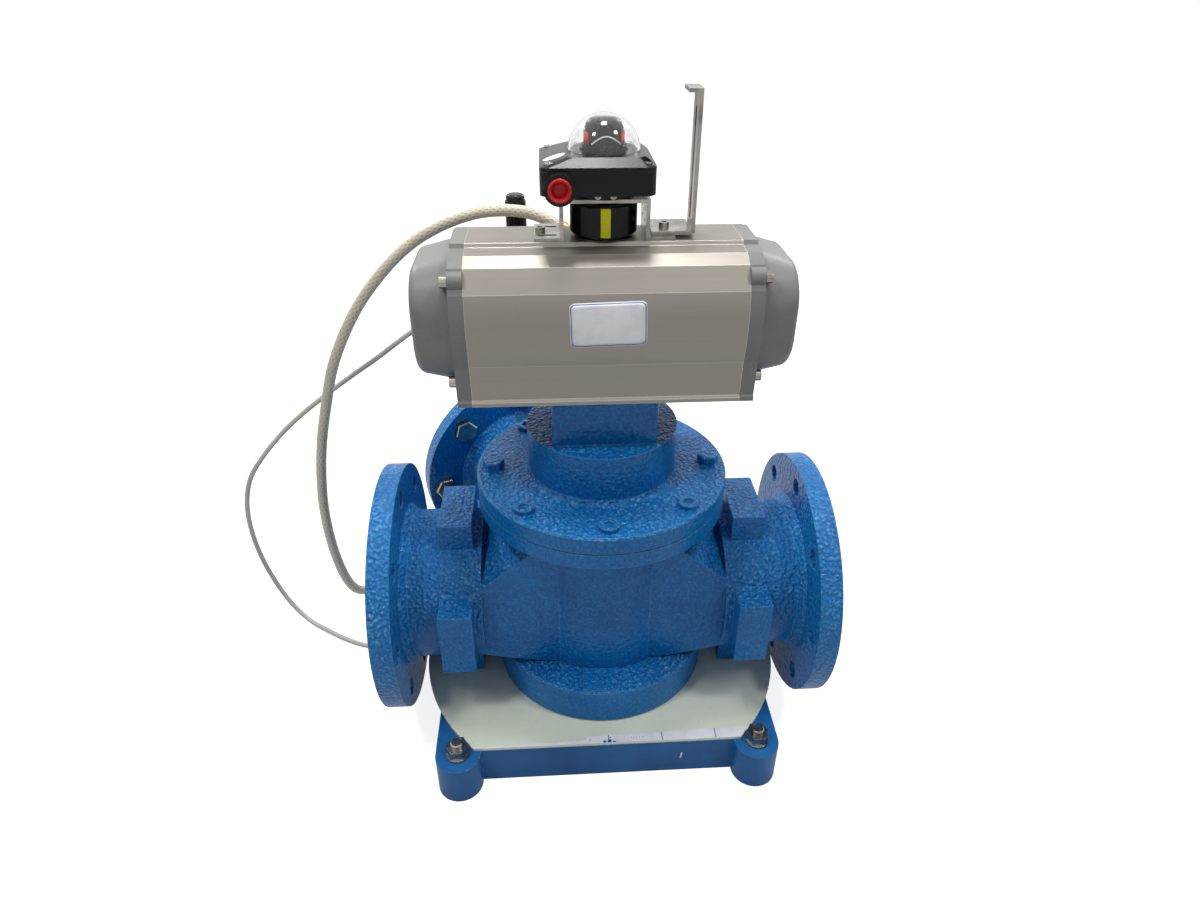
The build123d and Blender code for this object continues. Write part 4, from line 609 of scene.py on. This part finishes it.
# the bare oval sticker on the lid, the white arc and the red flags of the indicator
oval_middle = (-0.0395, -0.0165)
oval_half_width, oval_half_height, oval_tilt = 8.8 * mm, 6.6 * mm, math.radians(8)
sticker(
    "oval_sticker", "switch_lid", oval_middle, oval_half_width, oval_half_height, 0, oval_tilt, 0.2 * mm,
    paper, above=True,
)
arc = bpy.data.curves.new("indicator_arc", "CURVE")
arc.dimensions = "3D"
arc.bevel_depth = 0.55 * mm
arc.bevel_resolution = 2
arc.use_fill_caps = True
arc_steps = 12
arc_left, arc_wide, arc_row, arc_high = 592, 29, 144.5, 7.5      # in pixels of the photograph
line = arc.splines.new("POLY")
line.points.add(arc_steps)
for step, point in enumerate(line.points):
    share = step / arc_steps
    toward = sight(arc_left + arc_wide * share, arc_row - arc_high * math.sin(math.pi * share))
    place, normal = hit("indicator_drum", camera_place, toward)
    point.co = (*(place + normal * 0.15 * mm), 1)
indicator_arc = bpy.data.objects.new("indicator_arc", arc)
scene.collection.objects.link(indicator_arc)
arc.materials.append(paper.material)
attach(indicator_arc, "rotor")

drum_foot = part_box("indicator_drum")[0][2]
flag_radius, flag_wall, flag_half_turn = 15.3 * mm, 0.8 * mm, math.radians(38)
flag_bottom, flag_top = drum_foot + 4.2 * mm, drum_foot + 12.5 * mm
flag_steps = 16
flag_turns = [flag_half_turn * (2 * step / flag_steps - 1) for step in range(flag_steps + 1)]
for side, name in ((-1, "red_flag_left"), (1, "red_flag_right")):
    built = bmesh.new()
    rings = []
    for level in (flag_bottom, flag_top):
        for radius in (flag_radius, flag_radius + flag_wall):
            rings.append([
                built.verts.new((side * radius * math.cos(turn), radius * math.sin(turn), level))
                for turn in flag_turns
            ])
    inner_low, outer_low, inner_high, outer_high = rings
    around = (inner_low, outer_low, outer_high, inner_high, inner_low)
    for one, other in zip(around, around[1:]):
        for step in range(flag_steps):
            built.faces.new([one[step], one[step + 1], other[step + 1], other[step]])
    for end in (0, flag_steps):
        built.faces.new([inner_low[end], outer_low[end], outer_high[end], inner_high[end]])
    finished(name, built, looks["red_plastic"], "rotor")

# the conduit plug with its deep recess
plug_low, plug_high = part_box("conduit_plug")
plug_middle = ((plug_low[0] + plug_high[0]) / 2, (plug_low[2] + plug_high[2]) / 2)
front, rear = plug_low[1], plug_high[1]
shank_end = rear - 0.1 * mm
rim_and_recess = [       # radius and depth behind the front, in millimetres
    (6.9, 3), (9, 3), (9, 0.8), (8.4, 0.1), (7.5, 0), (7.0, 0.5), (6.2, 2.4), (5.6, 6.5), (1.5, 7), (0, 7),
]
recessed_plug = turned(
    "recessed_plug",
    [(0, shank_end), (6.9 * mm, shank_end)] + [(radius * mm, front + y * mm) for radius, y in rim_and_recess],
    plug_middle, looks["red_plastic"], "body",
)
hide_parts("conduit_plug")

# white tape along the deck plate's front edge, with its marks, and a scratch on the base
plate_low, plate_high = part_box("base_plate")
deck, edge_y, plate_radius = plate_high[2], plate_low[1] + 0.15 * mm, 189.4 * mm
tape_widths = [         # x, and the tape's width there, in millimetres
    (-131, 1.4), (-90, 2.2), (-50, 3.3), (-22, 4.0), (-21, 8.0), (0, 8.6), (30, 9.6), (60, 10.5), (95, 11.6),
    (131, 12.4),
]
front_line = [(x * mm, edge_y) for x, _ in tape_widths]
back_line = [(x * mm, edge_y + width * mm) for x, width in tape_widths]
corner_line = []
for step in range(1, 5):
    y = edge_y + (1.4 + 2.75 * step) * mm
    corner_line.append((math.sqrt(plate_radius**2 - y**2), y))
tape_outline = front_line + corner_line + back_line[::-1]
slabs("edge_tape", [tape_outline], deck - 0.02 * mm, deck + 0.14 * mm, paper)
mark_low, mark_high = deck + 0.1 * mm, deck + 0.2 * mm


def tape_points(corners):
    """Corners in metres, from millimetres along the tape and back from its front edge."""
    return [(x * mm, edge_y + y * mm) for x, y in corners]


def mark(x, start, end, half=0.4):
    """Corners of a narrow mark across the tape, in millimetres from its front edge."""
    return tape_points([(x - half, start), (x + half, start), (x + half, end), (x - half, end)])


marks = [mark(0.5, 0.8, 8.6), mark(53.5, 0.3, 10.2), mark(106.9, 0.3, 11.6), mark(-17.5, 3.6, 4.8, 0.7)]
marks += [mark(x, 4.6, 5.3, 0.35) for x in (16, 23, 25.5, 28, 31, 34.5)]
slabs("tape_marks", marks, mark_low, mark_high, ink)
chips = [
    [(-5.2, 0.4), (-2.4, 0.2), (-1.6, 2.0), (-3.4, 3.1), (-5.0, 1.9)],
    [(-0.9, 0.3), (2.6, 0.2), (3.4, 2.6), (1.4, 4.4), (-0.4, 2.4)],
    [(4.2, 0.3), (7.6, 0.3), (6.6, 1.9), (4.8, 2.2)],
    [(1.6, 5.0), (3.0, 4.9), (2.7, 6.4), (1.9, 6.2)],
]
chip_outlines = [tape_points(chip) for chip in chips]
slabs("tape_chips", chip_outlines, mark_low, mark_high, looks["blue_paint"])
scratch_pixel = (681, 755)
scratch_half_width, scratch_half_height, scratch_tilt = 0.7 * mm, 4.2 * mm, math.radians(-9)
spot, _ = hit("base_casting", camera_place, sight(*scratch_pixel))
sticker(
    "paint_scratch", "base_casting", (spot.x, spot.z), scratch_half_width, scratch_half_height, 0.6 * mm,
    scratch_tilt, 0.06 * mm, paper,
)

# ---------------------------------------------------------------- floor, light and background
def arithmetic(tree, operation, first, second):
    """A Math node of two sockets, or a socket and a number; a sum stops at 1."""
    made = tree.nodes.new("ShaderNodeMath")
    made.operation = operation
    made.use_clamp = operation == "ADD"
    for socket, value in zip(made.inputs, (first, second)):
        if isinstance(value, float):
            socket.default_value = value
        else:
            tree.links.new(value, socket)
    return made.outputs[0]


floor_tone = (0.52, 0.52, 0.515, 1)
floor_glow = 0.82           # brings the lit floor up to white for the camera
mirrored_glow = 0.3         # the share of it that shows in gloss
shade_light = 0.26          # the world's strength as light on the object

floor_material = bpy.data.materials.new("pale_floor")
floor_material.use_nodes = True
tree = floor_material.node_tree
shader = tree.nodes["Principled BSDF"]
shader.inputs["Base Color"].default_value = floor_tone
shader.inputs["Roughness"].default_value = 0.9
glow = tree.nodes.new("ShaderNodeEmission")
glow.inputs["Color"].default_value = (1, 1, 1, 1)
seen = tree.nodes.new("ShaderNodeLightPath").outputs
mirrored = arithmetic(tree, "MULTIPLY", seen["Is Glossy Ray"], mirrored_glow)
straight = arithmetic(tree, "ADD", seen["Is Camera Ray"], mirrored)
total = arithmetic(tree, "ADD", straight, seen["Is Transmission Ray"])
tree.links.new(arithmetic(tree, "MULTIPLY", total, floor_glow), glow.inputs["Strength"])
both = tree.nodes.new("ShaderNodeAddShader")
tree.links.new(shader.outputs[0], both.inputs[0])
tree.links.new(glow.outputs[0], both.inputs[1])
tree.links.new(both.outputs[0], tree.nodes["Material Output"].inputs["Surface"])

floor_mesh = bpy.data.meshes.new("floor")
half_floor = 40.0
floor_corners = [(x * half_floor, y * half_floor, 0) for x, y in ((-1, -1), (1, -1), (1, 1), (-1, 1))]
floor_mesh.from_pydata(floor_corners, [], [(0, 1, 2, 3)])
floor_mesh.materials.append(floor_material)
floor = bpy.data.objects.new("floor", floor_mesh)
scene.collection.objects.link(floor)

world = bpy.data.worlds.new("pale_studio")
scene.world = world
world.use_nodes = True
tree = world.node_tree
room = tree.nodes["Background"]
room.inputs["Color"].default_value = (1, 1, 1, 1)
seen = tree.nodes.new("ShaderNodeLightPath").outputs
straight = arithmetic(tree, "ADD", seen["Is Camera Ray"], seen["Is Glossy Ray"])
total = arithmetic(tree, "ADD", straight, seen["Is Transmission Ray"])
fade = tree.nodes.new("ShaderNodeMapRange")
fade.inputs["To Min"].default_value = shade_light
fade.inputs["To Max"].default_value = 1.0
tree.links.new(total, fade.inputs["Value"])
tree.links.new(fade.outputs[0], room.inputs["Strength"])

lamp_aim = Vector((0, 0, 0.2))


def lamp(name, place, size, power, colour=(1, 1, 1)):
    """A soft square lamp that faces the object."""
    light = bpy.data.lights.new(name, "AREA")
    light.shape = "SQUARE"
    light.size = size
    light.energy = power
    light.color = colour
    made = bpy.data.objects.new(name, light)
    scene.collection.objects.link(made)
    made.location = place
    made.rotation_mode = "QUATERNION"
    made.rotation_quaternion = (lamp_aim - made.location).to_track_quat("-Z", "Y")


lamp("left_lamp", (-1.0, -0.6, 2.2), 0.32, 13, (1.0, 0.99, 0.97))
lamp("right_lamp", (1.0, -0.5, 2.2), 0.32, 12, (1.0, 0.99, 0.97))
lamp("top_lamp", (0.0, 0.3, 2.4), 0.4, 26, (1.0, 1.0, 0.99))
lamp("back_left_lamp", (-1.6, 1.9, 2.0), 0.5, 22)
lamp("back_right_lamp", (1.6, 1.7, 2.0), 0.5, 18)

scene.view_settings.view_transform = "Standard"
